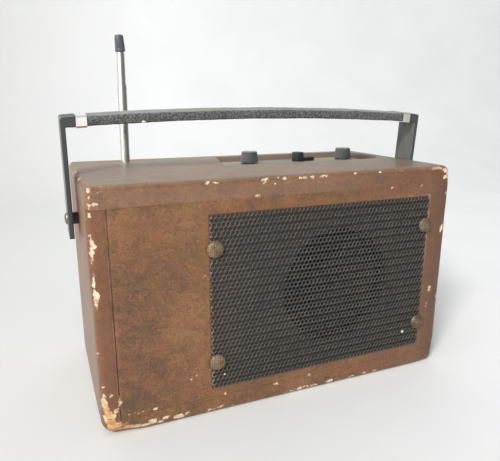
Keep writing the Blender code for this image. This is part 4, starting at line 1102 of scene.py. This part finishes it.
def make_looks():
    """Every material by a short name."""
    return {
        "paint": paint_look(),
        "grille": grille_look(),
        "leatherette": leatherette_look(),
        "stud_left": stud_look("brass_studs_left", (0.380, 0.270, 0.163)),
        "stud_right": stud_look("brass_studs_right", (0.300, 0.212, 0.137)),
        "hardboard": wood_look("pressed_board", (0.075, 0.042, 0.024), (0.16, 0.09, 0.05)),
        "pine": wood_look("bare_pine", (0.52, 0.34, 0.18), (0.74, 0.56, 0.36)),
        "chrome": metal_look("chrome_plate", (0.95, 0.95, 0.91), 0.14, 40, dirt=0.08),
        "antenna": antenna_look(),
        "dull_chrome": metal_look("dull_chrome", (0.82, 0.80, 0.74), 0.34, 90, dirt=0.2),
        "steel": metal_look("zinc_steel", (0.56, 0.56, 0.56), 0.34, 120, dirt=0.35),
        "aluminium": metal_look("drawn_aluminium", (0.72, 0.73, 0.74), 0.30, 90, (1, 1, 0.1)),
        "brass": metal_look("worn_brass", (0.46, 0.38, 0.27), 0.36, 160, dirt=0.45),
        "copper": metal_look("wound_copper", (0.62, 0.28, 0.14), 0.34, 300, (6, 0.3, 0.3)),
        "black": matte_look("black_plastic", (0.020, 0.023, 0.022), (0.050, 0.055, 0.052), 0.42),
        "knob": matte_look("knob_plastic", (0.100, 0.106, 0.101), (0.195, 0.203, 0.190), 0.46),
        "cap": matte_look("tip_cap", (0.056, 0.060, 0.067), (0.122, 0.128, 0.140), 0.32),
        "inlay": matte_look("knob_inlay", (0.16, 0.165, 0.155), (0.26, 0.265, 0.25), 0.40),
        "arm": arm_look(),
        "ivory": matte_look("ivory_marks", (0.62, 0.59, 0.50), (0.82, 0.80, 0.72), 0.5),
        "panel": matte_look("panel_enamel", (0.30, 0.30, 0.235), (0.45, 0.45, 0.36), 0.50, 26),
        "paper": matte_look("cone_pulp", (0.030, 0.032, 0.027), (0.060, 0.062, 0.052), 0.85, 60,
                            800, 0.08 * MM),
        "ferrite": matte_look("ferrite", (0.030, 0.030, 0.033), (0.07, 0.07, 0.075), 0.5),
        "laminate": matte_look("paper_laminate", (0.30, 0.18, 0.06), (0.48, 0.31, 0.13), 0.42),
        "jacket": matte_look("battery_jacket", (0.07, 0.10, 0.24), (0.14, 0.19, 0.38), 0.4)}


def dress_carried_nodes():
    """Give every CAD node that stays in view its procedural material."""
    for look, names in CARRIED_NODES.items():
        for name in names.split():
            data = NODES[name].data
            data.materials.clear()
            data.materials.append(LOOKS[look])


def build_sweep():
    """Pale cloth-like sweep, with painted shade toward the left; it is no piece of the radio."""
    mesh = bmesh.new()
    outline = [(SWEEP_NEAR, 0.0), (SWEEP_BEND, 0.0)]
    for i in range(1, SWEEP_STEPS + 1):
        angle = math.pi / 2 * i / SWEEP_STEPS
        outline.append((SWEEP_BEND + SWEEP_RADIUS * math.sin(angle),
                        SWEEP_RADIUS - SWEEP_RADIUS * math.cos(angle)))
    outline.append((SWEEP_BEND + SWEEP_RADIUS, SWEEP_TOP))
    left, right = ([mesh.verts.new((x, y, z)) for y, z in outline]
                   for x in (-SWEEP_HALF_WIDTH, SWEEP_HALF_WIDTH))
    for i in range(len(outline) - 1):
        mesh.faces.new((left[i], right[i], right[i + 1], left[i + 1]))
    data = finished("sweep", mesh)
    look = Look("pale_cloth", roughness=0.9, specular=0.2)
    cloth = look.ramp(look.noise(5, 3, 0.5), (0.3, (0.86, 0.865, 0.865)),
                      (0.7, (0.90, 0.905, 0.90)))
    # painted shade: darker toward the left, where the lamps light it most
    shade = look.span(look.axes(look.here)[0], 0.20, -0.30, 0.0, 1.0)
    look.set("Base Color", look.mix(shade, cloth, (0.690, 0.694, 0.684)))
    look.bump(look.noise(16, 3, 0.5), 3 * MM, 0.25)
    data.materials.append(look.material)
    data.shade_smooth()
    linked("sweep", data)


def build_lights():
    """Two soft lamps at the front left, and surroundings that dim to the right."""
    for name, place, aim, size, power, colour in LAMPS:
        light = bpy.data.lights.new(name, "AREA")
        light.shape = "DISK"
        light.size = size
        light.energy = power
        light.color = colour
        holder = linked(name, light)
        holder.location = place
        holder.visible_camera = False
        holder.rotation_euler = (Vector(aim) - Vector(place)).to_track_quat("-Z", "Y").to_euler()
    world = bpy.data.worlds.new("surroundings")
    bpy.context.scene.world = world
    world.use_nodes = True
    tree = world.node_tree
    background = tree.nodes["Background"]
    background.inputs["Color"].default_value = (0.93, 0.95, 0.97, 1)
    places, split, fade = (tree.nodes.new("ShaderNode" + kind)
                           for kind in ("TexCoord", "SeparateXYZ", "MapRange"))
    for name, number in (("From Min", -0.7), ("From Max", 0.8), ("To Min", 0.94),
                         ("To Max", 0.38)):
        fade.inputs[name].default_value = number
    tree.links.new(places.outputs["Generated"], split.inputs[0])
    tree.links.new(split.outputs["X"], fade.inputs["Value"])
    tree.links.new(fade.outputs["Result"], background.inputs["Strength"])


def build_camera():
    """The photo's viewpoint: from the left, a little above the top board."""
    data = bpy.data.cameras.new("camera")
    data.sensor_width = CAMERA_SENSOR
    data.lens = CAMERA_LENS
    camera = linked("camera", data)
    camera.matrix_world = (moved(*CAMERA_PLACE) @ turned(-CAMERA_YAW, "Z")
                           @ turned(90 + CAMERA_PITCH, "X") @ turned(CAMERA_ROLL, "Z"))
    bpy.context.scene.camera = camera


def build_scene():
    """Build the camera, the stage and every visible piece."""
    for build in (build_camera, build_sweep, build_lights, build_cabinet, build_grille,
                  build_studs, build_band_lever, build_dial_marks, build_grip,
                  build_small_domes, build_screws, build_antenna, dress_carried_nodes):
        build()
    for body in ("volume", "tuning"):
        build_knob(body)
    bpy.context.scene.view_settings.view_transform = "Standard"


LOOKS = make_looks()
build_scene()
